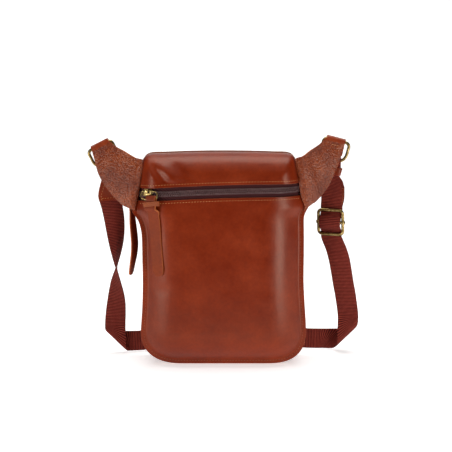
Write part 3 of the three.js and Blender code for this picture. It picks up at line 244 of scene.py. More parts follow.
def yokeSurface(facing, bulge, bottomLine, relief, levelCount=26, sideCount=14, cornerCount=22,
                middleCount=60):
    surface = newSurface()
    zipHalf = zips["mainOpening"] / 2
    full = halfDepth + bulge - zipHalf
    levels = [math.cos(angle) for angle in quarter(levelCount)]
    levels[-1] = 0

    def at(x, z, level):
        depth = zipHalf + full * math.sqrt(max(0, 1 - level * level))
        return (x, facing * (depth + relief(x, z) * (1 - level ** 4)), z)

    def sideX(side, z, share):
        return yokeEdge(side, z) - side * body["rollWidth"] * (1 - share)

    def rollFoot(side):
        return crownLine(sideX(side, body["height"], 0)) - body["rollHeight"]

    lowAt = body["height"] * 0.85
    for side in (leftSide, rightSide):
        rows = []
        for t in steps(sideCount):
            row = []
            for level in levels:
                z = lerp(bottomLine(sideX(side, lowAt, level)), rollFoot(side), t)
                row.append(at(sideX(side, z, level), z, level))
            rows.append(row)
        addRows(surface, rows)
        rows = []
        for angle in quarter(cornerCount):
            row = []
            for level in levels:
                toSide, toEnd = cornerShare(body["rollPower"], angle, level)
                z = rollFoot(side) + body["rollHeight"] * toEnd
                row.append(at(sideX(side, z, toSide), z, level))
            rows.append(row)
        addRows(surface, rows)
    rows = []
    for t in steps(middleCount):
        row = []
        for level in levels:
            ends = [sideX(side, rollFoot(side) + body["rollHeight"] * level, 0)
                    for side in (leftSide, rightSide)]
            x = lerp(ends[0], ends[1], t)
            foot = crownLine(x) - body["rollHeight"]
            if t == 0:
                foot = rollFoot(leftSide)
            if t == 1:
                foot = rollFoot(rightSide)
            row.append(at(x, foot + body["rollHeight"] * level, level))
        rows.append(row)
    addRows(surface, rows)
    rows = []
    for up in steps(sideCount):
        ends = []
        for side in (leftSide, rightSide):
            z = lerp(bottomLine(sideX(side, lowAt, 0)), rollFoot(side), up)
            ends.append((sideX(side, z, 0), z))
        row = []
        for t in steps(middleCount):
            x = lerp(ends[0][0], ends[1][0], t)
            z = lerp(bottomLine(x), crownLine(x) - body["rollHeight"], up)
            if t == 0:
                z = ends[0][1]
            if t == 1:
                z = ends[1][1]
            row.append(at(x, z, 0))
        rows.append(row)
    addRows(surface, rows)
    return surface


def seamLine(topLeft, topRight, sideCount, cornerCount, bottomCount):
    line = []
    for t in steps(sideCount):
        z = lerp(topLeft, body["cornerHeight"], t)
        line.append(Vector((sideEdge(leftSide, z), 0, z)))
    for angle in quarter(cornerCount)[1:]:
        toSide, toEnd = cornerShare(cornerPower[leftSide], angle, 1)
        z = body["cornerHeight"] * (1 - toEnd)
        line.append(Vector((sideEdge(leftSide, z) + cornerWidth[leftSide] * (1 - toSide), 0, z)))
    start, end = line[-1].x, sideEdge(rightSide, 0) - cornerWidth[rightSide]
    for t in steps(bottomCount)[1:]:
        line.append(Vector((lerp(start, end, t), 0, 0)))
    for angle in reversed(quarter(cornerCount)[:-1]):
        toSide, toEnd = cornerShare(cornerPower[rightSide], angle, 1)
        z = body["cornerHeight"] * (1 - toEnd)
        line.append(Vector((sideEdge(rightSide, z) - cornerWidth[rightSide] * (1 - toSide), 0, z)))
    for t in steps(sideCount)[1:]:
        z = lerp(body["cornerHeight"], topRight, t)
        line.append(Vector((sideEdge(rightSide, z), 0, z)))
    return line


def inwardNormals(line):
    normals = []
    for i in range(len(line)):
        along = (line[min(i + 1, len(line) - 1)] - line[max(i - 1, 0)]).normalized()
        normals.append(Vector((-along.z, 0, along.x)))
    return normals


def gussetSurface():
    line = seamLine(body["gussetTopLeft"], body["gussetTopRight"], 70, 22, 26)
    inward = inwardNormals(line)
    leather = body["leather"]
    flangeY = halfDepth - leather - gap - leather / 2
    surface = newSurface()
    rows, uvRows, travelled = [], [], 0
    for i, point in enumerate(line):
        if i:
            travelled += (point - line[i - 1]).length
        bottomShare = clamp(inward[i].z, 0, 1) ** 3
        swell = lerp(body["swell"], body["flange"], bottomShare)

        def middle(y):
            return body["flange"] + leather / 2 - swell * min(1, 1.6 * (1 - (y / flangeY) ** 2))

        half = [(flangeY, 0), (flangeY, 2.2), (flangeY, body["flange"] - 2)]
        half += [(y, middle(y)) for y in [flangeY - 0.6, flangeY - 1.2]
                 + [flangeY * s for s in (0.86, 0.78, 0.7, 0.62, 0.58, 0.4, 0.2)]]
        profile = [(-y, inset) for y, inset in half] + [(0, middle(0))] + list(reversed(half))
        row = []
        for y, inset in profile:
            place = point + inward[i] * inset
            row.append((place.x, y, place.z))
        rows.append(row)
        uvRows.append([(travelled, y) for y, _ in profile])
    addRows(surface, rows, uvRows)
    return surface


# --- making objects
def makeObject(name, points, faces, materials, uvs=None, faceMaterials=None):
    mesh = bpy.data.meshes.new(name)
    mesh.from_pydata([tuple(value * mm for value in point) for point in points], [], faces)
    if uvs:
        layer = mesh.uv_layers.new(name="millimetres")
        for loop in mesh.loops:
            u, v = uvs[loop.vertex_index]
            layer.data[loop.index].uv = (u * mm, v * mm)
    for material in materials:
        mesh.materials.append(material)
    for polygon in mesh.polygons:
        polygon.use_smooth = True
        if faceMaterials:
            polygon.material_index = faceMaterials[polygon.index]
    mesh.validate()
    piece = bpy.data.objects.new(name, mesh)
    bpy.context.scene.collection.objects.link(piece)
    return piece


def keepPiece(piece, slotName, *nodes):
    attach(piece, "root")
    if nodes:
        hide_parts(*nodes)
    return piece


def hexColour(code):
    values = []
    for k in (1, 3, 5):
        share = int(code[k:k + 2], 16) / 255
        values.append(share / 12.92 if share <= 0.04045 else ((share + 0.055) / 1.055) ** 2.4)
    return (*values, 1)


def addNode(tree, kind, settings=None, links=None):
    node = tree.nodes.new(kind)
    for key, value in (settings or {}).items():
        if isinstance(key, int) or key in node.inputs:
            node.inputs[key].default_value = value
        else:
            setattr(node, key, value)
    for key, (source, output) in (links or {}).items():
        tree.links.new(source.outputs[output], node.inputs[key])
    return node


def startMaterial(name, settings):
    material = bpy.data.materials.new(name)
    material.use_nodes = True
    tree = material.node_tree
    shader = tree.nodes["Principled BSDF"]
    for key, value in settings.items():
        shader.inputs[key].default_value = value
    return material, tree, shader


def setRamp(node, stops):
    ramp = node.color_ramp
    while len(ramp.elements) < len(stops):
        ramp.elements.new(0.5)
    for element, (position, colour) in zip(ramp.elements, stops):
        element.position = position
        element.color = colour


# --- materials; pattern scales are cells per metre, so 1 / 0.0012 is a 1.2 mm grain
leatherLook = dict(dark="#6A1B04", middle="#782306", light="#852B0A", grain=0.0013, crease=0.014,
                   roughness=0.33, gloss=0.34)


def waxedLeather(name, look):
    # full-grain cowhide, dyed through and waxed: mottled red-brown with a soft gloss and a fine pore grain
    material, tree, shader = startMaterial(name,
                                           {"Roughness": look["roughness"],
                                            "Specular IOR Level": look["gloss"],
                                            "Specular Tint": (1, 0.78, 0.62, 1)})
    place = addNode(tree, "ShaderNodeTexCoord")
    mottle = addNode(tree, "ShaderNodeTexNoise", {"Scale": 1 / 0.045, "Detail": 5.0, "Roughness": 0.6},
                     {"Vector": (place, "Object")})
    ramp = addNode(tree, "ShaderNodeValToRGB", {}, {"Fac": (mottle, "Fac")})
    setRamp(ramp, [(0.3, hexColour(look["dark"])), (0.52, hexColour(look["middle"])),
                   (0.72, hexColour(look["light"]))])
    speck = addNode(tree, "ShaderNodeTexNoise", {"Scale": 1 / 0.003, "Detail": 3.0},
                    {"Vector": (place, "Object")})
    tint = addNode(tree, "ShaderNodeMixRGB", {"blend_type": "SOFT_LIGHT", "Fac": 0.28},
                   {"Color1": (ramp, "Color"), "Color2": (speck, "Fac")})
    tree.links.new(tint.outputs["Color"], shader.inputs["Base Color"])
    rough = addNode(tree, "ShaderNodeMapRange",
                    {"From Min": 0.3, "From Max": 0.7, "To Min": look["roughness"] - 0.06,
                     "To Max": look["roughness"] + 0.1},
                    {"Value": (mottle, "Fac")})
    tree.links.new(rough.outputs["Result"], shader.inputs["Roughness"])
    grain = addNode(tree, "ShaderNodeTexVoronoi",
                    {"feature": "DISTANCE_TO_EDGE", "Scale": 1 / look["grain"]},
                    {"Vector": (place, "Object")})
    lip = addNode(tree, "ShaderNodeMapRange", {"From Min": 0.0, "From Max": 0.12},
                  {"Value": (grain, "Distance")})
    fine = addNode(tree, "ShaderNodeBump", {"Strength": look.get("grainDepth", 0.12), "Distance": 0.0002},
                   {"Height": (lip, "Result")})
    fold = addNode(tree, "ShaderNodeTexNoise",
                   {"Scale": 1 / look["crease"], "Detail": 3.0, "Distortion": 0.4},
                   {"Vector": (place, "Object")})
    soft = addNode(tree, "ShaderNodeBump", {"Strength": 0.35, "Distance": 0.0009},
                   {"Height": (fold, "Fac"), "Normal": (fine, "Normal")})
    tree.links.new(soft.outputs["Normal"], shader.inputs["Normal"])
    return material


def pebbledLeather(name):
    # tumbled cowhide: the drum raises a pebble of about 2 mm, whose tops shine where the wax is rubbed; the
    # valleys between the pebbles are darkened in the colour, painted shade
    material, tree, shader = startMaterial(name,
                                           {"Roughness": 0.4, "Specular IOR Level": 0.62,
                                            "Specular Tint": (1, 0.8, 0.66, 1)})
    place = addNode(tree, "ShaderNodeTexCoord")
    pebble = addNode(tree, "ShaderNodeTexVoronoi",
                     {"feature": "SMOOTH_F1", "Scale": 1 / 0.0021, "Smoothness": 0.3,
                      "Randomness": 0.95}, {"Vector": (place, "Object")})
    small = addNode(tree, "ShaderNodeTexVoronoi", {"feature": "F1", "Scale": 1 / 0.001},
                    {"Vector": (place, "Object")})
    both = addNode(tree, "ShaderNodeMath", {"operation": "MULTIPLY_ADD", 1: 0.3},
                   {0: (small, "Distance"), 2: (pebble, "Distance")})
    mottle = addNode(tree, "ShaderNodeTexNoise", {"Scale": 1 / 0.026, "Detail": 4.0},
                     {"Vector": (place, "Object")})
    ramp = addNode(tree, "ShaderNodeValToRGB", {}, {"Fac": (mottle, "Fac")})
    setRamp(ramp, [(0.32, hexColour("#722609")), (0.5, hexColour("#883610")), (0.68, hexColour("#9E481C"))])
    # painted shade: the base colour is multiplied darker in the valleys between the pebbles
    valley = addNode(tree, "ShaderNodeMapRange",
                     {"From Min": 0.35, "From Max": 0.95, "To Min": 0.0, "To Max": 0.7},
                     {"Value": (both, "Value")})
    tint = addNode(tree, "ShaderNodeMixRGB", {"blend_type": "MULTIPLY", "Color2": hexColour("#A87660")},
                   {"Fac": (valley, "Result"), "Color1": (ramp, "Color")})
    tree.links.new(tint.outputs["Color"], shader.inputs["Base Color"])
    rough = addNode(tree, "ShaderNodeMapRange",
                    {"From Min": 0.38, "From Max": 0.62, "To Min": 0.46, "To Max": 0.28},
                    {"Value": (mottle, "Fac")})
    tree.links.new(rough.outputs["Result"], shader.inputs["Roughness"])
    bump = addNode(tree, "ShaderNodeBump", {"Strength": 0.8, "Distance": 0.0008, "invert": True},
                   {"Height": (both, "Value")})
    tree.links.new(bump.outputs["Normal"], shader.inputs["Normal"])
    return material


def rawLeather(name, code="#B5622F"):
    # the cut edge of vegetable-tanned leather: matt orange-brown fibres in thin layers
    material, tree, shader = startMaterial(name, {"Roughness": 0.72})
    place = addNode(tree, "ShaderNodeTexCoord")
    fibre = addNode(tree, "ShaderNodeTexNoise", {"Scale": 1 / 0.0008, "Detail": 4.0},
                    {"Vector": (place, "Object")})
    patch = addNode(tree, "ShaderNodeTexNoise", {"Scale": 1 / 0.012, "Detail": 3.0},
                    {"Vector": (place, "Object")})
    both = addNode(tree, "ShaderNodeMath", {"operation": "MULTIPLY_ADD", 1: 0.5},
                   {0: (patch, "Fac"), 2: (fibre, "Fac")})
    ramp = addNode(tree, "ShaderNodeValToRGB", {}, {"Fac": (both, "Value")})
    base = hexColour(code)
    setRamp(ramp, [(0.5, tuple(c * 0.45 for c in base[:3]) + (1,)), (0.72, base),
                   (0.95, tuple(min(1, c * 1.35) for c in base[:3]) + (1,))])
    tree.links.new(ramp.outputs["Color"], shader.inputs["Base Color"])
    bump = addNode(tree, "ShaderNodeBump", {"Strength": 0.4, "Distance": 0.0003},
                   {"Height": (fibre, "Fac")})
    tree.links.new(bump.outputs["Normal"], shader.inputs["Normal"])
    return material


def antiqueBrass(name):
    # cast and tumbled brass, darkened in a bath and rubbed back: olive in the hollows, bright on the rubs
    material, tree, shader = startMaterial(name, {"Metallic": 1.0, "Roughness": 0.3})
    place = addNode(tree, "ShaderNodeTexCoord")
    patch = addNode(tree, "ShaderNodeTexNoise", {"Scale": 1 / 0.004, "Detail": 5.0, "Roughness": 0.65},
                    {"Vector": (place, "Object")})
    ramp = addNode(tree, "ShaderNodeValToRGB", {}, {"Fac": (patch, "Fac")})
    setRamp(ramp, [(0.3, hexColour("#4E3E22")), (0.5, hexColour("#8E7646")), (0.7, hexColour("#C2A874"))])
    tree.links.new(ramp.outputs["Color"], shader.inputs["Base Color"])
    rough = addNode(tree, "ShaderNodeMapRange",
                    {"From Min": 0.35, "From Max": 0.7, "To Min": 0.42, "To Max": 0.2},
                    {"Value": (patch, "Fac")})
    tree.links.new(rough.outputs["Result"], shader.inputs["Roughness"])
    bump = addNode(tree, "ShaderNodeBump", {"Strength": 0.15, "Distance": 0.0001},
                   {"Height": (patch, "Fac")})
    tree.links.new(bump.outputs["Normal"], shader.inputs["Normal"])
    return material


def cottonWebbing(name):
    # woven webbing: cross ribs of about 1.9 mm, a little coarse so that they show, over fine warp lines;
    # the colour is darker in the weave's low places and lighter on the rib tops, painted shade and painted
    # highlight
    material, tree, shader = startMaterial(name, {"Roughness": 0.85, "Specular IOR Level": 0.15,
                                                  "Sheen Weight": 0.08, "Sheen Roughness": 0.5,
                                                  "Sheen Tint": hexColour("#A0483C")})
    place = addNode(tree, "ShaderNodeUVMap", {"uv_map": "millimetres"})
    ribs = addNode(tree, "ShaderNodeTexWave",
                   {"wave_type": "BANDS", "bands_direction": "X", "wave_profile": "SIN",
                    "Scale": 0.314 / 0.0019, "Distortion": 0.6, "Detail": 1.0},
                   {"Vector": (place, "UV")})
    warp = addNode(tree, "ShaderNodeTexWave",
                   {"wave_type": "BANDS", "bands_direction": "Y", "wave_profile": "SIN",
                    "Scale": 0.314 / 0.0014, "Distortion": 0.3},
                   {"Vector": (place, "UV")})
    weave = addNode(tree, "ShaderNodeMath", {"operation": "MULTIPLY"}, {0: (ribs, "Fac"), 1: (warp, "Fac")})
    height = addNode(tree, "ShaderNodeMath", {"operation": "MULTIPLY_ADD", 1: 0.5},
                     {0: (ribs, "Fac"), 2: (weave, "Value")})
    # painted shade and painted highlight: the colour follows the weave's height, dark in its hollows and
    # light on its crests
    ramp = addNode(tree, "ShaderNodeValToRGB", {}, {"Fac": (height, "Value")})
    setRamp(ramp, [(0.1, hexColour("#3E0F0B")), (0.5, hexColour("#681C15")), (1.0, hexColour("#9A4030"))])
    fuzz = addNode(tree, "ShaderNodeTexNoise", {"Scale": 1 / 0.006, "Detail": 5.0},
                   {"Vector": (place, "UV")})
    tint = addNode(tree, "ShaderNodeMixRGB", {"blend_type": "SOFT_LIGHT", "Fac": 0.35},
                   {"Color1": (ramp, "Color"), "Color2": (fuzz, "Fac")})
    tree.links.new(tint.outputs["Color"], shader.inputs["Base Color"])
    bump = addNode(tree, "ShaderNodeBump", {"Strength": 0.7, "Distance": 0.0005},
                   {"Height": (height, "Value")})
    tree.links.new(bump.outputs["Normal"], shader.inputs["Normal"])
    return material


def zipTape(name):
    # woven polyester tape: matt, with a fine herringbone drawn a little coarse so that it shows; its colour
    # is darker in the ribs' hollows and lighter on their tops, painted shade and painted highlight
    material, tree, shader = startMaterial(name, {"Roughness": 0.85, "Specular IOR Level": 0.2})
    place = addNode(tree, "ShaderNodeTexCoord")
    rib = addNode(tree, "ShaderNodeTexWave", {"wave_type": "BANDS", "bands_direction": "DIAGONAL",
                                              "Scale": 0.314 / 0.0016, "Distortion": 0.5},
                  {"Vector": (place, "Object")})
    # painted shade and painted highlight: the colour follows the herringbone ribs, darker in their hollows
    # and lighter on their tops
    ramp = addNode(tree, "ShaderNodeValToRGB", {}, {"Fac": (rib, "Fac")})
    setRamp(ramp, [(0.0, hexColour("#2A0E10")), (1.0, hexColour("#4A1F20"))])
    tree.links.new(ramp.outputs["Color"], shader.inputs["Base Color"])
    bump = addNode(tree, "ShaderNodeBump", {"Strength": 0.4, "Distance": 0.0003}, {"Height": (rib, "Fac")})
    tree.links.new(bump.outputs["Normal"], shader.inputs["Normal"])
    return material


def nylonCoil(name):
    # extruded polyester monofilament, dyed with its tape: smooth; the small cool glints are lighter
    # grey-pink patches painted into its colour, painted highlight
    material, tree, shader = startMaterial(name, {"Roughness": 0.34, "IOR": 1.55})
    place = addNode(tree, "ShaderNodeTexCoord")
    patch = addNode(tree, "ShaderNodeTexNoise", {"Scale": 1 / 0.002, "Detail": 2.0},
                    {"Vector": (place, "Object")})
    # painted highlight: the lighter stop of the colour stands for glints on the coil
    ramp = addNode(tree, "ShaderNodeValToRGB", {}, {"Fac": (patch, "Fac")})
    setRamp(ramp, [(0.3, hexColour("#341A1A")), (0.7, hexColour("#6E4A48"))])
    tree.links.new(ramp.outputs["Color"], shader.inputs["Base Color"])
    return material


def waxedThread(name, dark, light):
    # thick waxed polyester thread with a twist of about half a millimetre
    material, tree, shader = startMaterial(name, {"Roughness": 0.55})
    place = addNode(tree, "ShaderNodeTexCoord")
    twist = addNode(tree, "ShaderNodeTexNoise", {"Scale": 1 / 0.0007, "Detail": 2.0},
                    {"Vector": (place, "Object")})
    ramp = addNode(tree, "ShaderNodeValToRGB", {}, {"Fac": (twist, "Fac")})
    setRamp(ramp, [(0.3, hexColour(dark)), (0.7, hexColour(light))])
    tree.links.new(ramp.outputs["Color"], shader.inputs["Base Color"])
    bump = addNode(tree, "ShaderNodeBump", {"Strength": 0.3, "Distance": 0.0002},
                   {"Height": (twist, "Fac")})
    tree.links.new(bump.outputs["Normal"], shader.inputs["Normal"])
    return material


smoothHide = waxedLeather("waxed cowhide", leatherLook)
tumbledHide = pebbledLeather("tumbled cowhide")
cutEdge = rawLeather("cut leather edge", "#B25E2C")
brass = antiqueBrass("antiqued cast brass")
webbing = cottonWebbing("woven cotton webbing")
tapeCloth = zipTape("woven zip tape")
coilNylon = nylonCoil("extruded nylon coil")
thread = waxedThread("light tan waxed thread", "#A05A2A", "#CC8A52")
tonedThread = waxedThread("waxed thread dyed as the hide", "#6A2A10", "#96481E")
brightHide = waxedLeather("waxed cowhide rubbed bright",
                          dict(leatherLook, dark="#762208", middle="#88300E", light="#984018",
                          roughness=0.3, gloss=0.5, grainDepth=0.25))
pullHide = waxedLeather("waxed strap leather", dict(leatherLook, roughness=0.52, gloss=0.3, dark="#6A220A",
                                                   middle="#78290C", light="#843212"))
print("materials made:", len(bpy.data.materials))


# --- sheets with a thickness of their own
def surfaceNormals(surface):
    normals = [Vector((0, 0, 0)) for _ in surface["points"]]
    for face in surface["faces"]:
        corners = [surface["points"][k] for k in face]
        normal = (corners[1] - corners[0]).cross(corners[2] - corners[0])
        if len(corners) > 3:
            normal += (corners[2] - corners[0]).cross(corners[3] - corners[0])
        for k in face:
            normals[k] += normal
    return [normal.normalized() for normal in normals]


def windTogether(surface):
    # turns the blocks' faces so that neighbours agree
    work = bmesh.new()
    corners = [work.verts.new(point) for point in surface["points"]]
    for face in surface["faces"]:
        work.faces.new([corners[k] for k in face])
    work.verts.index_update()
    bmesh.ops.recalc_face_normals(work, faces=work.faces[:])
    surface["faces"] = [[corner.index for corner in face.verts] for face in work.faces]
    work.free()


def sheetObject(name, surface, thickness, outer, facing, materials, edge=0.35):
    # outer is the share of the thickness on the side that facing points to; the rim gets the last material
    windTogether(surface)
    normals = surfaceNormals(surface)
    lean = sum(normal.dot(facing(point)) for normal, point in zip(normals, surface["points"]))
    sign = 1 if lean > 0 else -1
    count = len(surface["points"])
    thick = surface.get("thickness") or [thickness] * count
    points = [p + n * (sign * outer * t) for p, n, t in zip(surface["points"], normals, thick)]
    points += [p + n * (sign * (outer - 1) * t) for p, n, t in zip(surface["points"], normals, thick)]
    faces = [list(face) for face in surface["faces"]]
    faces += [[k + count for k in reversed(face)] for face in surface["faces"]]
    borders = {}
    for face in surface["faces"]:
        for k in range(len(face)):
            start, end = face[k], face[(k + 1) % len(face)]
            if (end, start) in borders:
                del borders[(end, start)]
            else:
                borders[(start, end)] = True
    sheetFaces = len(faces)
    for start, end in borders:
        faces.append([end, start, start + count, end + count])
    faceMaterials = [0] * sheetFaces + [len(materials) - 1] * (len(faces) - sheetFaces)
    piece = makeObject(name, points, faces, materials, surface["uvs"] * 2, faceMaterials)
    work = bmesh.new()
    work.from_mesh(piece.data)
    bmesh.ops.recalc_face_normals(work, faces=work.faces[:])
    work.to_mesh(piece.data)
    work.free()
    if edge:
        softenEdges(piece, edge)
    return piece


def softenEdges(piece, width, segments=2, angle=50):
    bevel = piece.modifiers.new("worn edges", "BEVEL")
    bevel.width = width * mm
    bevel.segments = segments
    bevel.limit_method = "ANGLE"
    bevel.angle_limit = math.radians(angle)
    weighted = piece.modifiers.new("even shading", "WEIGHTED_NORMAL")
    weighted.keep_sharp = False
    weighted.weight = 60


# --- thread: short rounded beads that dive into the leather at their ends
def beadShape():
    return dict(points=[], faces=[])


beadRings = [(0.0, 0.3), (0.07, 0.72), (0.22, 0.95), (0.5, 1.0), (0.78, 0.95), (0.93, 0.72), (1.0, 0.3)]


def addBead(shape, start, end, outward, radius, dip=0.0, flat=1.0, sides=6):
    along = (end - start).normalized()
    across = along.cross(outward).normalized()
    up = across.cross(along).normalized()
    base = len(shape["points"])
    for share, size in beadRings:
        centre = start.lerp(end, share) - up * (dip * abs(2 * share - 1) ** 3)
        for k in range(sides):
            angle = 2 * math.pi * k / sides
            shape["points"].append(centre + across * (radius * size * math.cos(angle))
                                   + up * (radius * size * flat * math.sin(angle)))
    rings = len(beadRings)
    for i in range(rings - 1):
        for k in range(sides):
            a, b = base + i * sides + k, base + i * sides + (k + 1) % sides
            shape["faces"].append([a, b, b + sides, a + sides])
    shape["faces"].append([base + k for k in reversed(range(sides))])
    shape["faces"].append([base + (rings - 1) * sides + k for k in range(sides)])


def lineSampler(line, outs):
    lengths = [0]
    for a, b in zip(line, line[1:]):
        lengths.append(lengths[-1] + (b - a).length)

    def sample(distance):
        place = clamp(distance, 0, lengths[-1])
        i = 0
        low, high = 0, len(lengths) - 2
        while low < high:
            i = (low + high + 1) // 2
            if lengths[i] <= place:
                low = i
            else:
                high = i - 1
        step = lengths[low + 1] - lengths[low] or 1
        t = (place - lengths[low]) / step
        return line[low].lerp(line[low + 1], t), outs[low].lerp(outs[low + 1], t).normalized()

    return sample, lengths[-1]


def sewRow(shape, line, outs, look):
    sample, length = lineSampler(line, outs)
    count = max(1, round(length / look["pitch"]))
    pitch = length / count
    for k in range(count):
        middle = (k + 0.5) * pitch
        half = pitch * look["fill"] / 2
        (start, outA), (end, outB) = sample(middle - half), sample(middle + half)
        out = (outA + outB).normalized()
        lean = out.cross((end - start).normalized()) * (look.get("slant", 0.06) * pitch)
        lift = out * look["lift"]
        addBead(shape, start + lift - lean, end + lift + lean, out, look["radius"], look["dip"], 0.8)


def sewnObject(name, shape, material=None):
    piece = makeObject(name, shape["points"], shape["faces"], [material or thread])
    return keepPiece(piece, "smooth_leather")


seamThread = dict(pitch=3.4, fill=0.7, radius=0.32, lift=0.02, dip=0.38)
zipThread = dict(pitch=3.3, fill=0.6, radius=0.36, lift=0.12, dip=0.45)


# --- the leather's own small hollows and swells, in mm outward
def softNoise(x, z, size, seed):
    return noise.noise(Vector((x / size, z / size, seed)))


def hollow(x, z, centre, reach, depth):
    dx, dz = (x - centre[0]) / reach[0], (z - centre[1]) / reach[1]
    return depth * math.exp(-(dx * dx + dz * dz))


def edgeFade(x, z):
    side = leftSide if x < 0 else rightSide
    inward = abs(sideEdge(side, z)) - abs(x)
    fade = clamp((inward - body["flange"]) / 12, 0, 1) * clamp((z - body["flange"]) / 12, 0, 1)
    return fade * fade * (3 - 2 * fade)


frontShape = dict(swell=0.5, swellSize=80, fine=0.2, fineSize=26, step=1.5, stepFrom=-70, stepTo=-52,
                  stepAt=158, stepReach=62, dent=-1.0, dentAt=(-72, 92), dentReach=(10, 7))


def pocketTop(x):
    return zipLine(x) - zips["opening"] / 2


def yokeBottom(x):
    return zipLine(x) + zips["opening"] / 2


def frontRelief(x, z):
    fade = edgeFade(x, z) * clamp((pocketTop(x) - z) / 14, 0, 1)
    look = frontShape
    rise = look["swell"] * softNoise(x, z, look["swellSize"], 3.1)
    rise += look["fine"] * softNoise(x, z, look["fineSize"], 9.4)
    # pushed out behind the pull, the leather steps down beside it
    t = clamp((x - look["stepFrom"]) / (look["stepTo"] - look["stepFrom"]), 0, 1)
    along = (z - look["stepAt"]) / look["stepReach"]
    rise += look["step"] * (1 - t * t * (3 - 2 * t)) * math.exp(-along ** 2)
    rise += hollow(x, z, look["dentAt"], look["dentReach"], look["dent"])
    return fade * rise


def backRelief(x, z):
    fade = edgeFade(x, z) * clamp((yokeBottom(x) - z) / 14, 0, 1)
    return fade * (0.8 * softNoise(x, z, 64, 5.7) + 0.25 * softNoise(x, z, 22, 1.9))


def frontYokeRelief(x, z):
    inward = abs(sideEdge(leftSide if x < 0 else rightSide, z)) - abs(x)
    fade = clamp((z - yokeBottom(x)) / 8, 0, 1) * clamp(inward / 18, 0, 1)
    rise = 0.6 * softNoise(x, z, 46, 7.7) + 0.2 * softNoise(x, z, 18, 2.2)
    # the two soft folds that run down from the left shoulder
    rise += hollow(x + (z - 228) * 0.7, z, (-74, 228), (6, 15), -2.6)
    rise += hollow(x + (z - 232) * 0.9, z, (-48, 232), (7, 14), -1.8)
    rise += hollow(x + (z - 228) * 0.8, z, (-61, 228), (6, 13), 1.8)
    return fade * rise


def backYokeRelief(x, z):
    fade = clamp((z - yokeBottom(x)) / 8, 0, 1)
    return fade * 0.6 * softNoise(x, z, 40, 4.4)


def facingFront(_):
    return Vector((0, -1, 0))


def facingBack(_):
    return Vector((0, 1, 0))


def awayFromMiddle(point):
    return Vector((point.x, 0, point.z - 110))


frontPanel = sheetObject("front_leather", panelSurface(-1, body["frontBulge"], pocketTop, frontRelief),
                         body["leather"], 0, facingFront, [smoothHide, cutEdge])
keepPiece(frontPanel, "smooth_leather", "front_panel")
backPanel = sheetObject("back_leather",
                        panelSurface(1, body["backBulge"], lambda x: yokeBottom(x) - gap, backRelief),
                        body["leather"], 0, facingBack, [smoothHide, cutEdge])
keepPiece(backPanel, "smooth_leather", "back_panel")
frontYoke = sheetObject("front_yoke_leather",
                        yokeSurface(-1, body["frontBulge"], yokeBottom, frontYokeRelief),
                        body["leather"], 0, facingFront, [smoothHide, cutEdge])
keepPiece(frontYoke, "smooth_leather", "front_yoke")
backYoke = sheetObject("back_yoke_leather", yokeSurface(1, body["backBulge"], yokeBottom, backYokeRelief),
                       body["leather"], 0, facingBack, [smoothHide, cutEdge])
keepPiece(backYoke, "smooth_leather", "back_yoke")
gussetPiece = sheetObject("gusset_leather", gussetSurface(), body["leather"], 0.5, awayFromMiddle,
                          [smoothHide, cutEdge])
keepPiece(gussetPiece, "smooth_leather", "gusset")
print("body leather cut and rolled")


# --- zips
def yokeFull(bulge):
    return halfDepth + bulge - zips["mainOpening"] / 2


def yokeDepthAt(x, z, bulge):
    side = leftSide if x < 0 else rightSide
    level = clamp(1 - (abs(yokeEdge(side, z)) - abs(x)) / body["rollWidth"], 0, 1)
    return zips["mainOpening"] / 2 + yokeFull(bulge) * math.sqrt(1 - level * level)


def frontDepth(x):
    z = zipLine(x)
    return min(panelDepth(x, z, body["frontBulge"]), yokeDepthAt(x, z, body["frontBulge"]))


def slopeFactor(x):
    slope = (frontDepth(x + 1) - frontDepth(x - 1)) / 2
    return min(math.hypot(1, slope), 1.9)


def tapeDepth(x):
    return frontDepth(x) - (body["leather"] + gap + zips["tape"] / 2) * slopeFactor(x)


def coilDepth(x):
    return tapeDepth(x) + (zips["tape"] / 2 + gap + zips["coilHeight"] / 2) * slopeFactor(x)


def frontZipColumns(count, clear):
    start = sideEdge(leftSide, zips["height"]) + body["flange"] + clear
    end = sideEdge(rightSide, zips["height"]) - body["flange"] - clear
    return [lerp(start, end, t) for t in steps(count)]


def zipTeeth(shape, line, outs, acrosses):
    # two rows of turned filament that meet in the middle, half a pitch apart
    sample, length = lineSampler(line, outs)
    sampleAcross, _ = lineSampler(line, acrosses)
    half = zips["coilWidth"] / 2
    count = int(length / zips["toothPitch"])
    for k in range(count):
        for side, shift in ((1, 0.25), (-1, 0.75)):
            place, out = sample((k + shift) * zips["toothPitch"])
            across = sampleAcross((k + shift) * zips["toothPitch"])[1]
            addBead(shape, place + across * (side * half * 0.86) + out * 0.15,
                    place - across * (side * half * 0.12) + out * 0.35,
                    out, 0.5, 0.3, 1.2)


def coilSeam(shape, line, outs, acrosses, look):
    for side in (-1, 1):
        row = [p + a * (side * zips["coilWidth"] * 0.3) + o * 0.62 for p, a, o in zip(line, acrosses, outs)]
        sewRow(shape, row, outs, look)


def spine(shape, line, outs, acrosses):
    # the smooth sides of the coil, one thin cord along each edge
    for side in (-1, 1):
        row = [p + a * (side * zips["coilWidth"] * 0.46) for p, a in zip(line, acrosses)]
        tubeAlong(shape, row, outs, 0.45)


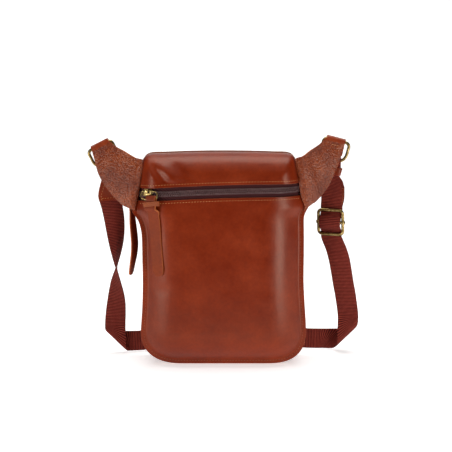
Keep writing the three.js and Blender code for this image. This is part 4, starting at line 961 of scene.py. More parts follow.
def tubeAlong(shape, line, outs, radius, sides=8, closed=False):
    base, count = len(shape["points"]), len(line)
    for i, point in enumerate(line):
        before = line[i - 1] if i or closed else line[0]
        after = line[(i + 1) % count] if i < count - 1 or closed else line[-1]
        along = (after - before).normalized()
        across = along.cross(outs[i]).normalized()
        up = across.cross(along)
        for k in range(sides):
            angle = 2 * math.pi * k / sides
            shape["points"].append(point + across * (radius * math.cos(angle))
                                   + up * (radius * math.sin(angle)))
    for i in range(count if closed else count - 1):
        for k in range(sides):
            a, b = base + i * sides + k, base + i * sides + (k + 1) % sides
            c, d = base + (i + 1) % count * sides + (k + 1) % sides, base + (i + 1) % count * sides + k
            shape["faces"].append([a, b, c, d])
    if not closed:
        shape["faces"].append([base + k for k in reversed(range(sides))])
        shape["faces"].append([base + (count - 1) * sides + k for k in range(sides)])


coilThread = dict(pitch=2.4, fill=0.5, radius=0.26, lift=0.0, dip=0.2)
coilSewing = waxedThread("coil sewing thread", "#7A5654", "#B09490")


def makeFrontZip():
    reach = zips["opening"] / 2 + zips["hold"]
    tape = newSurface()
    addRows(tape, [[(x, -tapeDepth(x), zipLine(x) + t * reach) for t in [k / 6 - 1 for k in range(13)]]
                   for x in frontZipColumns(90, 0.6)])
    piece = sheetObject("front_zip_cloth", tape, zips["tape"], 0.5, facingFront, [tapeCloth], 0.2)
    keepPiece(piece, "zip_tape", "front_zip_tape")
    columns = frontZipColumns(120, 1.0)
    line = [Vector((x, -coilDepth(x), zipLine(x))) for x in columns]
    outs, acrosses = [], []
    for i in range(len(line)):
        along = (line[min(i + 1, len(line) - 1)] - line[max(i - 1, 0)]).normalized()
        out = along.cross(Vector((0, 0, 1))).normalized()
        outs.append(out)
        acrosses.append(out.cross(along).normalized())
    teeth = beadShape()
    zipTeeth(teeth, line, outs, acrosses)
    spine(teeth, line, outs, acrosses)
    coil = makeObject("front_zip_teeth", teeth["points"], teeth["faces"], [coilNylon])
    keepPiece(coil, "zip_coil", "front_zip_coil")
    sewing = beadShape()
    coilSeam(sewing, line, outs, acrosses, coilThread)
    keepPiece(makeObject("front_zip_sewing", sewing["points"], sewing["faces"], [coilSewing]), "zip_coil")


def mainZipLine(cornerCount=24, middleCount=40, sideCount=8):
    def foot(side):
        return crownLine(yokeEdge(side, body["height"]) - side * body["rollWidth"]) - body["rollHeight"]

    def halfLine(side):
        start = (body["gussetTopLeft"] if side == leftSide else body["gussetTopRight"]) - zips["hold"]
        points = []
        for t in steps(sideCount):
            z = lerp(start, foot(side), t)
            points.append(Vector((yokeEdge(side, z), 0, z)))
        for angle in quarter(cornerCount)[1:]:
            toSide, toEnd = cornerShare(body["rollPower"], angle, 1)
            z = foot(side) + body["rollHeight"] * toEnd
            points.append(Vector((yokeEdge(side, z) - side * body["rollWidth"] * (1 - toSide), 0, z)))
        return points

    leftHalf, rightHalf = halfLine(leftSide), halfLine(rightSide)[::-1]
    middle = []
    for t in steps(middleCount)[1:-1]:
        x = lerp(leftHalf[-1].x, rightHalf[0].x, t)
        middle.append(Vector((x, 0, crownLine(x))))
    return leftHalf + middle + rightHalf


tapeInset = body["leather"] + gap * 3 + zips["tape"] / 2
coilInset = tapeInset - zips["tape"] / 2 - gap - zips["coilHeight"] / 2


def makeMainZip():
    line = mainZipLine()
    inward = [-normal for normal in inwardNormals(line)]
    half = zips["mainOpening"] / 2 + zips["hold"]
    tape = newSurface()
    addRows(tape, [[tuple(p + n * tapeInset + Vector((0, t * half, 0)))
                    for t in [k / 6 - 1 for k in range(13)]]
                   for p, n in zip(line, inward)])
    piece = sheetObject("top_zip_cloth", tape, zips["tape"], 0.5, awayFromMiddle, [tapeCloth], 0.2)
    keepPiece(piece, "zip_tape", "top_zip_tape")
    coilLine = [p + n * coilInset for p, n in zip(line, inward)][2:-2]
    outs = [-n for n in inward][2:-2]
    acrosses = [Vector((0, 1, 0)) for _ in outs]
    teeth = beadShape()
    zipTeeth(teeth, coilLine, outs, acrosses)
    spine(teeth, coilLine, outs, acrosses)
    keepPiece(makeObject("top_zip_teeth", teeth["points"], teeth["faces"], [coilNylon]), "zip_coil",
              "top_zip_coil")
    sewing = beadShape()
    coilSeam(sewing, coilLine, outs, acrosses, coilThread)
    keepPiece(makeObject("top_zip_sewing", sewing["points"], sewing["faces"], [coilSewing]), "zip_coil")


makeFrontZip()
makeMainZip()
print("zips set in")


# --- seams of the body
def surfacePoint(x, z, facing, bulge, relief):
    return Vector((x, facing * (panelDepth(x, z, bulge) + relief(x, z)), z))


def makeSeams():
    inset = 3.9
    for name, facing, bulge, relief, tops in (
            ("front_seam_stitches", -1, body["frontBulge"], frontRelief, (192, 196)),
            ("back_seam_stitches", 1, body["backBulge"], backRelief, (208, 212))):
        edge = seamLine(tops[0], tops[1], 70, 26, 26)
        inward = inwardNormals(edge)
        line = [point + normal * inset for point, normal in zip(edge, inward)]
        line = [surfacePoint(point.x, point.z, facing, bulge, relief) for point in line]
        outs = [Vector((0, facing, 0)) for _ in line]
        shape = beadShape()
        sewRow(shape, line, outs, seamThread)
        sewnObject(name, shape, tonedThread)
    shape = beadShape()
    for below, depthAt, reliefAt in ((True, panelDepth, frontRelief),
                                     (False, yokeDepthAt, frontYokeRelief)):
        line, outs = [], []
        for x in frontZipColumns(110, 1.2):
            z = pocketTop(x) - 2.9 if below else yokeBottom(x) + 3.1

            def at(px, pz):
                return Vector((px, -(depthAt(px, pz, body["frontBulge"]) + reliefAt(px, pz)), pz))

            here = at(x, z)
            out = (at(x + 0.6, z) - here).cross(at(x, z + 0.6) - here).normalized()
            line.append(here)
            outs.append(out if out.y < 0 else -out)
        sewRow(shape, line, outs, zipThread)
    sewnObject("front_zip_stitches", shape)
    shape = beadShape()
    line = mainZipLine()
    inward = [-normal for normal in inwardNormals(line)]
    rowAt = 4.2
    for facing, bulge in ((-1, body["frontBulge"]), (1, body["backBulge"])):
        full = yokeFull(bulge)
        level = math.sqrt(1 - (rowAt / full) ** 2)
        row = [p + n * (body["rollWidth"] * (1 - level))
               + Vector((0, facing * (zips["mainOpening"] / 2 + rowAt), 0))
               for p, n in zip(line, inward)]
        outs = [(-n + Vector((0, facing * rowAt / full, 0))).normalized() for n in inward]
        sewRow(shape, row, outs, seamThread)
    sewnObject("top_zip_stitches", shape)
    shape = beadShape()
    for shift in (-3.2, 3.4):
        line, outs = [], []
        for t in steps(90):
            x = lerp(sideEdge(leftSide, 212) + 8, sideEdge(rightSide, 212) - 8, t)
            z = yokeBottom(x) + shift
            if shift < 0:
                line.append(surfacePoint(x, z, 1, body["backBulge"], backRelief))
            else:
                line.append(Vector((x, yokeDepthAt(x, z, body["backBulge"]) + backYokeRelief(x, z), z)))
            outs.append(Vector((0, 1, 0)))
        sewRow(shape, line, outs, seamThread)
    sewnObject("back_yoke_stitches", shape)


makeSeams()
print("body seams sewn")


# --- wings of tumbled leather
wings = dict(leather=2.2, fold=1.5, reach=62, rise=82, lean=18, flap=10, hump=2.2, turn=0.6)
rings = dict(wire=3.6, inside=27, aside=1.6, drop=23.6, corner=10.8, topCorner=4.5, play=1.2)
wingFoot = {leftSide: 0.728, rightSide: 0.732}
wingRows = {
    leftSide: dict(upperOut=[(0, 0), (0.25, 0.16), (0.5, 0.379), (0.75, 0.545), (0.9, 0.635), (1, 0.664)],
                   upperUp=[(0, 0.734), (0.25, 0.773), (0.5, 0.861), (0.75, 0.923), (0.9, 0.972),
                            (1, 0.99)],
                   lowerOut=[(0, 0.163), (0.25, 0.405), (0.5, 0.653), (0.75, 0.845), (0.9, 0.929),
                             (1, 0.983)],
                   lowerUp=[(0, 0), (0.25, 0.105), (0.5, 0.291), (0.75, 0.517), (0.9, 0.74), (1, 0.868)],
                   back=[(0, 0), (0.25, 0.14), (0.5, 0.42), (0.75, 0.72), (0.9, 0.92), (1, 1)]),
    rightSide: dict(upperOut=[(0, 0), (0.25, 0.153), (0.5, 0.302), (0.75, 0.474), (0.9, 0.561), (1, 0.604)],
                    upperUp=[(0, 0.735), (0.25, 0.783), (0.5, 0.857), (0.75, 0.939), (0.9, 1.0),
                             (1, 1.022)],
                    lowerOut=[(0, 0.189), (0.25, 0.413), (0.5, 0.615), (0.75, 0.815), (0.9, 0.9),
                              (1, 0.95)],
                    lowerUp=[(0, 0), (0.25, 0.152), (0.5, 0.329), (0.75, 0.648), (0.9, 0.84), (1, 0.955)],
                    back=[(0, 0), (0.25, 0.14), (0.5, 0.42), (0.75, 0.72), (0.9, 0.92), (1, 1)]),
}
rollMiddle = rings["wire"] / 2 + rings["play"] * 0.5 + wings["fold"] / 2


def wingPoint(side, along, t):
    rows = wingRows[side]
    foot = wingFoot[side] * body["height"]

    def read(value):
        return smoothTable(rows[value], along)

    def seam(z):
        return abs(sideEdge(side, z)) - body["flange"]

    rootTop = seam(foot + rows["upperUp"][0][1] * wings["rise"])
    out = lerp(read("upperOut"), read("lowerOut"), t) * wings["reach"]
    z = foot + lerp(read("upperUp"), read("lowerUp"), t) * wings["rise"]
    sewn = seam(z) + wings["reach"] * 0.06 * t ** 6
    x = lerp(sewn, rootTop + out, min(1, along * 5))
    hump = wings["hump"] * math.sin(math.pi * t) * math.sin(math.pi * min(1, along))
    beyond = max(0, x - abs(sideEdge(side, z)) - gap * 3)
    back = min(read("back") * wings["lean"], beyond * wings["turn"])
    return Vector((side * x, back - hump - (halfDepth + gap * 2 + wings["leather"] / 2), z))


def wingTip(side):
    upper, lower = wingPoint(side, 1, 0), wingPoint(side, 1, 1)
    middle = upper.lerp(lower, 0.5)
    bar = (lower - upper).normalized()
    toTip = middle - wingPoint(side, 0.75, 0.5)
    toTip = (toTip - bar * toTip.dot(bar)).normalized()
    front = bar.cross(toTip).normalized()
    if front.y > 0:
        front = -front
    centre = middle + bar * rings["aside"] - front * rollMiddle
    hang = (Vector((0, 0, -1)) + bar * bar.z).normalized()
    across = bar * side
    out = across.cross(hang).normalized()
    if out.y > 0:
        out = -out
    return dict(upper=upper, lower=lower, bar=bar, toTip=toTip, front=front, centre=centre, hang=hang,
                across=across,
                out=out, bottom=centre + hang * rings["drop"])


def wingRelief(side, along, t):
    # a soft valley beside the seam and low waves across the hide
    fade = math.sin(math.pi * clamp(along, 0, 1)) * math.sin(math.pi * t) ** 0.5
    place = wingPoint(side, along, t)
    wave = 0.6 * softNoise(place.x, place.z, 19, 12.5) + 0.15 * softNoise(place.x, place.z, 8, 6.5)
    valley = -1.3 * math.exp(-((along - 0.43) / 0.1) ** 2) * math.sin(math.pi * t) ** 0.7
    swell = 1.5 * math.exp(-((along - 0.2) / 0.12) ** 2) * math.sin(math.pi * t)
    groove = -0.55 * math.exp(-((along - 0.86) / 0.03) ** 2)
    return fade * wave + valley + swell + groove


def makeWing(side, name, node):
    tip = wingTip(side)
    columns = steps(30)
    surface = newSurface()
    rows, thick = [], []
    for along in [0.88 * t for t in steps(44)]:
        rows.append([wingPoint(side, along, t) - Vector((0, wingRelief(side, along, t), 0))
                     for t in columns])
        thick.append(wings["leather"])

    def rolled(along, front):
        return [tip["upper"].lerp(tip["lower"], t) + tip["front"] * (front - rollMiddle)
                + tip["toTip"] * along for t in columns]

    flatEnd, rollStart = rows[-1], rolled(0, rollMiddle)
    for share in steps(8)[1:-1]:
        rows.append([a.lerp(b, share) for a, b in zip(flatEnd, rollStart)])
        thick.append(lerp(wings["leather"], wings["fold"], share))
    turnEnd = math.radians(215)
    for t in steps(28):
        angle = t * turnEnd
        rows.append(rolled(rollMiddle * math.sin(angle), rollMiddle * math.cos(angle)))
        thick.append(wings["fold"])
    under = rollMiddle - wings["leather"] / 2 - gap * 2 - wings["fold"] / 2
    run = (under - rollMiddle * math.cos(turnEnd)) / -math.sin(turnEnd)
    turnDown = rollMiddle * math.sin(turnEnd) + run * math.cos(turnEnd)
    for share in steps(4)[:-1]:
        rows.append(rolled(turnDown - wings["flap"] * share, under - gap * 3 * share))
        thick.append(wings["fold"])
    rows.append(rolled(turnDown - wings["flap"], under - gap * 3))
    thick.append(wings["fold"])
    addRows(surface, [[tuple(point) for point in row] for row in rows])
    surface["thickness"] = [None] * len(surface["points"])
    for row, value in zip(rows, thick):
        for point in row:
            key = tuple(round(v * 100) for v in point)
            surface["thickness"][surface["index"][key]] = value
    piece = sheetObject(name, surface, wings["leather"], 0.5, facingFront, [tumbledHide, cutEdge], 0.4)
    # stretched over the bar, the hide is smooth
    piece.data.materials.append(brightHide)
    middle = tip["upper"].lerp(tip["lower"], 0.5)
    for face in piece.data.polygons:
        if (Vector(face.center) / mm - middle).dot(tip["toTip"]) > -3.5:
            face.material_index = 2
    keepPiece(piece, "pebbled_leather", node)
    return tip


def makeWingStitches():
    shape, toned = beadShape(), beadShape()
    look = dict(seamThread, radius=0.3, pitch=3.4)
    for side in (leftSide, rightSide):
        def face(along, t):
            return (wingPoint(side, along, t)
                    - Vector((0, wingRelief(side, along, t) + wings["leather"] / 2, 0)))

        root = [face(0.07, t) for t in [lerp(0.05, 0.95, k) for k in steps(30)]]
        sewRow(toned, root, [Vector((0, -1, 0))] * len(root), look)
        tip = wingTip(side)
        hold = [tip["upper"].lerp(tip["lower"], t) - tip["toTip"] * 7.2
                + tip["front"] * (wings["leather"] / 2 + 0.15)
                for t in (0.3, 0.5, 0.7)]
        if side == rightSide:
            sewRow(shape, hold, [tip["front"]] * 3, dict(look, radius=0.34))
    keepPiece(makeObject("wing_tip_stitches", shape["points"], shape["faces"], [thread]), "pebbled_leather")
    keepPiece(makeObject("wing_root_stitches", toned["points"], toned["faces"], [tonedThread]),
              "pebbled_leather")


def roundedLoop(centre, acrossAxis, downAxis, halfSpan, drop, topRadius, bottomRadius, bends):
    corners = [(halfSpan - topRadius, topRadius, topRadius, -90),
               (halfSpan - bottomRadius, drop - bottomRadius, bottomRadius, 0),
               (-halfSpan + bottomRadius, drop - bottomRadius, bottomRadius, 90),
               (-halfSpan + topRadius, topRadius, topRadius, 180)]
    points = []
    for x, d, radius, start in corners:
        for t in steps(bends):
            angle = math.radians(start + 90 * t)
            points.append(centre + acrossAxis * (x + radius * math.cos(angle))
                          + downAxis * (d + radius * math.sin(angle)))
    return points


def spreadLoop(points, spacing):
    # extra places on the straight runs, so that the wire can be shaped along them
    loop = []
    for i, point in enumerate(points):
        after = points[(i + 1) % len(points)]
        count = max(1, int((after - point).length / spacing))
        loop += [point.lerp(after, k / count) for k in range(count)]
    return loop


def makeRing(name, node, tip):
    loop = roundedLoop(tip["centre"], tip["across"], tip["hang"], (rings["inside"] + rings["wire"]) / 2,
                       rings["drop"],
                       rings["topCorner"], rings["corner"], 12)
    shape = beadShape()
    tubeAlong(shape, spreadLoop(loop, 2), [tip["out"]] * len(spreadLoop(loop, 2)), rings["wire"] / 2, 16,
              True)
    piece = makeObject(name, shape["points"], shape["faces"], [brass])
    keepPiece(piece, "antique_brass", node)


tips = {leftSide: makeWing(leftSide, "left_wing_leather", "ear_left"),
        rightSide: makeWing(rightSide, "right_wing_leather", "ear_right")}
makeWingStitches()
makeRing("left_ring_brass", "ring_left", tips[leftSide])
makeRing("right_ring_brass", "ring_right", tips[rightSide])
print("wings and rings hung")


# --- strap: stations with a place, a direction across and perhaps a width and a lift
straps = dict(width=25, thickness=1.6, start=8, hang=12, wrapWidth=20, wrapGap=0.5, tab=1.5, tabLeft=38,
              tabBuckle=38, tabBuckleWidth=22.5, fold=3.5, roll=8, landing=0.62, keeperDrop=6,
              keeperHeight=9, keeper=1.4, rib=1.9)
buckle = dict(wire=3.6, inside=26, drop=29.5, corner=4.5, eyeLength=3.4, eyeWall=0.8, across=1.295,
              back=0.13, up=0.662, yaw=-21, pitch=6)
fallLeft = [(0.19, -0.05, 8), (0.225, 0.01, 12), (0.26, 0.07, 18), (0.33, 0.15, 27), (0.4, 0.19, 38),
            (0.47, 0.205, 52), (0.53, 0.205, 66), (0.6, 0.19, 84), (0.67, 0.165, 106), (0.73, 0.13, 124),
            (0.79, 0.12, 140), (0.85, 0.1, 154), (0.92, 0.05, 168), (1, 0, 180)]
fallRight = [(0.12, 0.14, -14), (0.25, 0.17, -8), (0.4, 0.15, -4), (0.55, 0.12, 0), (0.7, 0.1, 0),
             (0.85, 0.06, 0)]
runRows = [(-1.16, 0.78), (-1.0, 0.85), (-0.84, 1.15), (-0.67, 1.65), (-0.49, 2.15), (-0.25, 2.57),
           (0, 2.72), (0.25, 2.62), (0.49, 2.25), (0.68, 1.75), (0.85, 1.32), (1.02, 1.1), (1.2, 1.05)]
down = Vector((0, 0, -1))


def station(place, across, width=None, lift=None):
    return dict(place=Vector(place), across=Vector(across).normalized(), width=width, lift=lift)


def frames(stations):
    framed = []
    for i, here in enumerate(stations):
        along = (stations[min(i + 1, len(stations) - 1)]["place"]
                 - stations[max(i - 1, 0)]["place"]).normalized()
        lean = math.sqrt(max(0.2, 1 - along.dot(here["across"]) ** 2))
        normal = here["across"].cross(along).normalized()
        framed.append(dict(here, along=along, lean=lean, normal=normal))
    return framed


def layerBeside(stations, offset):
    return [dict(place=here["place"] + here["normal"] * offset, across=here["across"], width=here["width"],
                 lift=here["lift"]) for here in frames(stations)]


def firstPart(stations, length):
    part, remaining = [stations[0]], length
    for before, after in zip(stations, stations[1:]):
        step = (after["place"] - before["place"]).length
        if step >= remaining:
            t = remaining / step
            part.append(station(before["place"].lerp(after["place"], t),
                                before["across"].lerp(after["across"], t),
                                before["width"]))
            return part
        remaining -= step
        part.append(after)
    return part


def halfTurn(centre, front, lift, radius, across, width, raised, count=12):
    turn = []
    for t in steps(count):
        angle = t * math.pi
        place = centre + front * (radius * math.cos(angle)) + lift * (radius * math.sin(angle))
        turn.append(station(place, across, width, lift if raised else None))
    return turn


def ease(stations, spacing, width):
    # a smooth line through the stations, with a place about every spacing
    distances = [0]
    for a, b in zip(stations, stations[1:]):
        distances.append(distances[-1] + max(1e-3, (b["place"] - a["place"]).length))
    widths = [here["width"] or width for here in stations]
    lifts = [1 if here["lift"] else 0 for here in stations]
    lift = next((here["lift"] for here in stations if here["lift"]), None)
    last = len(stations) - 1

    def slope(values, k):
        lo, hi = max(k - 1, 0), min(k + 1, last)
        return (values[hi] - values[lo]) / (distances[hi] - distances[lo])

    places = [here["place"] for here in stations]
    acrosses = [here["across"] for here in stations]
    smooth = []
    for i in range(last):
        span = distances[i + 1] - distances[i]
        count = max(1, math.ceil(span / spacing))
        for k in range(count + (i == last - 1)):
            t = k / count

            def hermite(values):
                return ((1 + 2 * t) * (1 - t) ** 2 * values[i] + t * t * (3 - 2 * t) * values[i + 1]
                        + span * (t * (1 - t) ** 2 * slope(values, i)
                                  - t * t * (1 - t) * slope(values, i + 1)))

            here = station(hermite(places), hermite(acrosses), lerp(widths[i], widths[i + 1], t), lift)
            here["raise"] = lerp(lifts[i], lifts[i + 1], t)
            here["at"] = distances[i] + t * span
            smooth.append(here)
    return smooth


ringInner = rings["corner"] - rings["wire"] / 2
ringFlat = (rings["inside"] + rings["wire"]) / 2 - rings["corner"]


def ringRise(aside):
    past = clamp(aside - ringFlat, 0, ringInner)
    return ringInner - math.sqrt(ringInner ** 2 - past ** 2)


def bandObject(name, stations, width, thickness, spacing, materials, columns=None, profile=None, edge=0.3,
               ribs=None):
    smooth = ease(stations, spacing, width)
    columns = columns or [-1, -0.96, -0.8, -0.55, -0.25, 0, 0.25, 0.55, 0.8, 0.96, 1]
    surface = newSurface()
    rows, uvRows, thick = [], [], []
    for i, here in enumerate(frames(smooth)):
        half = here["width"] / 2
        row = []
        for t in columns:
            point = here["place"] + here["across"] * (t * half / here["lean"])
            if here["lift"] and here["raise"] > 0:
                point += here["lift"] * (ringRise(abs(t) * half) * here["raise"])
            row.append(tuple(point))
        rows.append(row)
        uvRows.append([(here["at"], t * half) for t in columns])
        rib = 1 if ribs is None else 1 + ribs * math.cos(math.pi * i)
        thick.append([thickness * rib * (profile(t) if profile else 1) for t in columns])
    addRows(surface, rows, uvRows)
    surface["thickness"] = [thickness] * len(surface["points"])
    for row, values in zip(rows, thick):
        for point, value in zip(row, values):
            surface["thickness"][surface["index"][tuple(round(v * 100) for v in point)]] = value
    windTogether(surface)
    first = surfaceNormals(surface)[0]
    return sheetObject(name, surface, thickness, 0.5, lambda _: first, materials, edge)


edgeUp = straps["width"] / 2 + gap * 2


def turned(angle):
    return Vector((math.cos(math.radians(angle)), math.sin(math.radians(angle)), 0))


def foldStations(centre, axis, outside, radius, fromFront, sign, count):
    depth = Vector((0, -1 if fromFront else 1, 0))
    fold = []
    for t in steps(count):
        angle = t * math.pi
        place = centre + depth * (radius * math.cos(angle)) + outside * (radius * math.sin(angle))
        fold.append(station(place + axis * (radius * (angle - math.pi / 2)), axis * sign))
    return fold


def leftFold():
    radius = straps["fold"]
    drop = radius * math.pi / 2 * math.sqrt(0.5)
    centre = Vector((-1.35 * halfWidth + drop, 0.6 * body["depth"] + radius, edgeUp + drop))
    return foldStations(centre, Vector((1, 0, -1)).normalized(), Vector((-1, 0, -1)).normalized(), radius,
                        True, -1, 8)


def rightFold():
    radius = straps["roll"]
    drop = radius * math.pi / 2 * math.sqrt(0.5)
    centre = Vector((1.555 * halfWidth - drop, 0.65 * body["depth"] + radius, edgeUp + drop))
    return foldStations(centre, Vector((1, 0, 1)).normalized(), Vector((1, 0, -1)).normalized(), radius,
                        False, 1, 8)


def fall(top, bottom, rows, startAcross):
    places = []
    for share, aside, turn in rows:
        place = top.lerp(bottom, share)
        place.x += aside * straps["width"]
        places.append(station(place, startAcross.lerp(turned(turn), clamp(share * 4, 0, 1))))
    return places


def leftFallStations():
    tip = tips[leftSide]
    start = [station(tip["bottom"] + tip["hang"] * straps["start"], tip["across"], straps["width"] - 1),
             station(tip["bottom"] + tip["hang"] * straps["hang"], tip["across"])]
    fold = leftFold()
    landing = fold[0]["place"] + Vector((0, 0, straps["width"] * straps["landing"]))
    return start + fall(tip["bottom"], landing, fallLeft, tip["across"]) + fold


def runStations():
    return [station((across * halfWidth, back * body["depth"], edgeUp), (0, 0, 1))
            for across, back in runRows]


def buckleFrame():
    yaw, pitch = math.radians(buckle["yaw"]), math.radians(buckle["pitch"])
    bar = Vector((math.cos(yaw), math.sin(yaw), 0))
    back = Vector((-math.sin(yaw), math.cos(yaw), 0))
    side = down * math.cos(pitch) + back * math.sin(pitch)
    face = side.cross(bar).normalized()
    if face.y > 0:
        face = -face
    centre = Vector((buckle["across"] * halfWidth, buckle["back"] * body["depth"],
                     buckle["up"] * body["height"]))
    return dict(bar=bar, side=side, face=face, centre=centre)


metal = buckleFrame()
layerStep = straps["thickness"] / 2 + gap + straps["tab"] / 2
underBar = buckle["wire"] / 2 + gap + straps["thickness"] / 2 + 0.25
overBar = buckle["wire"] / 2 + gap * 2 + straps["tab"] + straps["thickness"] / 2 + gap
rearStep = 2 * layerStep + gap * 4
weaveRows = [(1.3, 1.05, 0, 0), (0.963, 1, 0, 0), (0.657, 0.33, 0, 0), (0.36, 0, 0.68, 0), (0, 0, 1, 0),
             (-0.36, 0, 0.68, 0), (-0.657, 0.33, 0, 0), (-0.963, 1, 0, 0), (-1.2, 1.02, 0, 0)]
rearRows = [(-0.328, 0, 0, 0.64), (-0.657, 0, 0, 1.3), (-0.963, 0.95, 0, 1), (-1.25, 1.05, 0, 1)]
webRadius = rings["wire"] / 2 + straps["wrapGap"] + straps["thickness"] / 2
webPinch = straps["thickness"] / 2 + gap


def buckleStations(rows):
    half = buckle["drop"] / 2
    return [station(metal["centre"] + metal["side"] * (share * half)
                    + metal["face"] * (over * overBar - under * underBar - step * rearStep), metal["bar"])
            for share, under, over, step in rows]


def rightSpan():
    tip = tips[rightSide]
    start = buckleStations(weaveRows)[-1]
    rear = buckleStations(rearRows)

    def near(sign, along):
        return station(tip["bottom"] + tip["out"] * (sign * webPinch) + tip["hang"] * along, tip["across"])

    pinches = [straps["keeperDrop"] + straps["keeperHeight"] + gap * 2, straps["keeperDrop"]]
    rows = [(0.25, 1.5, 1, 1.25), (0.5, 1.5, 1, 1.75), (0.68, 0.5, 0.96, 1.25)]
    apart = rear[-1]["place"] - start["place"]
    front, rearSpan = [], []
    for up, aside, spread, shift in rows:
        place = start["place"].lerp(near(1, pinches[0])["place"], up)
        place.x += aside
        across = start["across"].lerp(tip["across"], up)
        front.append(station(place, across))
        behind = place + apart * spread
        behind.x += shift
        rearSpan.append(station(behind, across))
    return (front + [near(1, along) for along in pinches],
            rear + rearSpan + [near(-1, along) for along in pinches])


def strapStations():
    tip = tips[rightSide]
    rolled = rightFold()
    weave = buckleStations(weaveRows)
    takeOff = rolled[-1]["place"] + Vector((0, 0, straps["width"] * straps["landing"]))
    riseTop = weave[0]["place"] + metal["side"] * (buckle["drop"] * 0.15)
    rise = fall(riseTop, takeOff, fallRight, weave[0]["across"])
    front, rear = rightSpan()
    lift = -tip["hang"]
    turn = halfTurn(tip["bottom"], tip["out"], lift, webRadius, tip["across"], straps["wrapWidth"], True)
    return (leftFallStations() + runStations() + rolled + [station(takeOff, (1, 0, 0))] + rise[::-1]
            + weave + front
            + turn + rear[::-1])


def webEdge(t):
    # the woven edge is a little thinner than the middle
    return 1 - 0.35 * clamp((abs(t) - 0.8) / 0.2, 0, 1) ** 2


strapLine = strapStations()
strapPiece = bandObject("strap_webbing", strapLine, straps["width"], straps["thickness"],
                        straps["rib"] / 2, [webbing],
                        profile=webEdge, edge=0, ribs=0.09)
keepPiece(strapPiece, "webbing", "strap")
strapLength = sum((b["place"] - a["place"]).length for a, b in zip(strapLine, strapLine[1:]))
print("strap webbing laid, %.0f mm" % strapLength)


def foldedTab(web, length, turn, step):
    front, back = [firstPart(layerBeside(web, offset), length) for offset in (step, -step)]
    return front[::-1] + turn + back


def tabStitches(shape, stations, width, inset, offset, sign):
    # a row down each long edge and one across the end
    web = frames(stations)
    rows = []
    for t in (-1, 1):
        rows.append([here["place"] + here["across"] * (t * (width / 2 - inset)) + here["normal"] * offset
                     for here in web])
    for row in rows:
        sewRow(shape, row, [here["normal"] * sign for here in web], seamThread)
    last = web[-1]
    end = [last["place"] - last["along"] * inset + last["across"] * (t * (width / 2 - inset))
           + last["normal"] * offset
           for t in (-1, 0, 1)]
    sewRow(shape, end, [last["normal"] * sign] * 3, seamThread)


def makeTabs():
    tip = tips[leftSide]
    radius = rings["wire"] / 2 + straps["wrapGap"] + straps["tab"] / 2
    turn = halfTurn(tip["bottom"], tip["out"], -tip["hang"], radius, tip["across"], straps["wrapWidth"],
                    True)
    web = leftFallStations()
    piece = bandObject("left_tab_leather", foldedTab(web, straps["tabLeft"], turn, -layerStep),
                       straps["width"], straps["tab"], 1.4, [smoothHide, cutEdge])
    keepPiece(piece, "smooth_leather", "strap_tab_left")
    _, rear = rightSpan()
    radius = buckle["wire"] / 2 + gap + straps["tab"] / 2
    along = (rear[0]["place"] - metal["centre"]).normalized()
    front = metal["bar"].cross(along).normalized()
    if front.dot(metal["face"]) < 0:
        front = -front
    turn = halfTurn(metal["centre"], front, -along, radius, metal["bar"], straps["tabBuckleWidth"], False)
    piece = bandObject("buckle_tab_leather", foldedTab(rear, straps["tabBuckle"], turn, layerStep),
                       straps["tabBuckleWidth"], straps["tab"], 1.4, [smoothHide, cutEdge])
    keepPiece(piece, "smooth_leather", "strap_tab_buckle")
    shape = beadShape()
    out = layerStep + straps["tab"] / 2
    for stations, length, width in ((web, straps["tabLeft"], straps["width"]),
                                    (rear, straps["tabBuckle"], straps["tabBuckleWidth"])):
        part = firstPart(stations, length)
        for sign in (-1, 1):
            tabStitches(shape, ease(part, 3, width), width, 3.0, sign * out, sign)
    keepPiece(makeObject("tab_stitches", shape["points"], shape["faces"], [thread]), "smooth_leather")


makeTabs()


def roundedOutline(halfX, halfY, radius, bends):
    outline = []
    for cx, cy, start in ((halfX - radius, -halfY + radius, -90), (halfX - radius, halfY - radius, 0),
                          (-halfX + radius, halfY - radius, 90), (-halfX + radius, -halfY + radius, 180)):
        for t in steps(bends):
            angle = math.radians(start + 90 * t)
            outline.append((cx + radius * math.cos(angle), cy + radius * math.sin(angle)))
    return outline


def leatherLoop(name, halfX, halfY, wall, height, centre, xAxis, yAxis, materials, wave=0.0):
    # a closed strap of leather round what it keeps together
    zAxis = xAxis.cross(yAxis)
    surface = newSurface()
    radius = min(halfY, halfX) + wall * 0.5
    outline = roundedOutline(halfX + wall / 2, halfY + wall / 2, radius * 0.96, 8)
    outline = [(a[0] + (b[0] - a[0]) * k / n, a[1] + (b[1] - a[1]) * k / n)
               for a, b in zip(outline, outline[1:] + outline[:1])
               for n in [max(1, int(math.hypot(b[0] - a[0], b[1] - a[1]) / 1.5))] for k in range(n)]
    rows = []
    for x, y in outline + outline[:1]:
        row = []
        for t in (-1, -0.5, 0, 0.5, 1):
            bow = wave * (1 - t * t) * (1 if y > 0 else -1)
            row.append(tuple(centre + xAxis * x + yAxis * (y + bow) + zAxis * (t * height / 2)))
        rows.append(row)
    addRows(surface, rows, [[(i * 1.0, t * height / 2) for t in (-1, -0.5, 0, 0.5, 1)]
                            for i in range(len(rows))])
    return sheetObject(name, surface, wall, 0.5, lambda p: p - centre, materials, 0.3)


def makeStrapKeeper():
    tip = tips[rightSide]
    centre = tip["bottom"] + tip["hang"] * (straps["keeperDrop"] + gap + straps["keeperHeight"] / 2)
    halfY = webPinch + straps["thickness"] / 2 + gap * 2
    piece = leatherLoop("strap_keeper_leather", straps["width"] / 2 + gap * 3, halfY, straps["keeper"],
                        straps["keeperHeight"], centre, tip["across"], tip["out"], [smoothHide, cutEdge],
                        0.3)
    keepPiece(piece, "smooth_leather", "strap_keeper_right")


makeStrapKeeper()


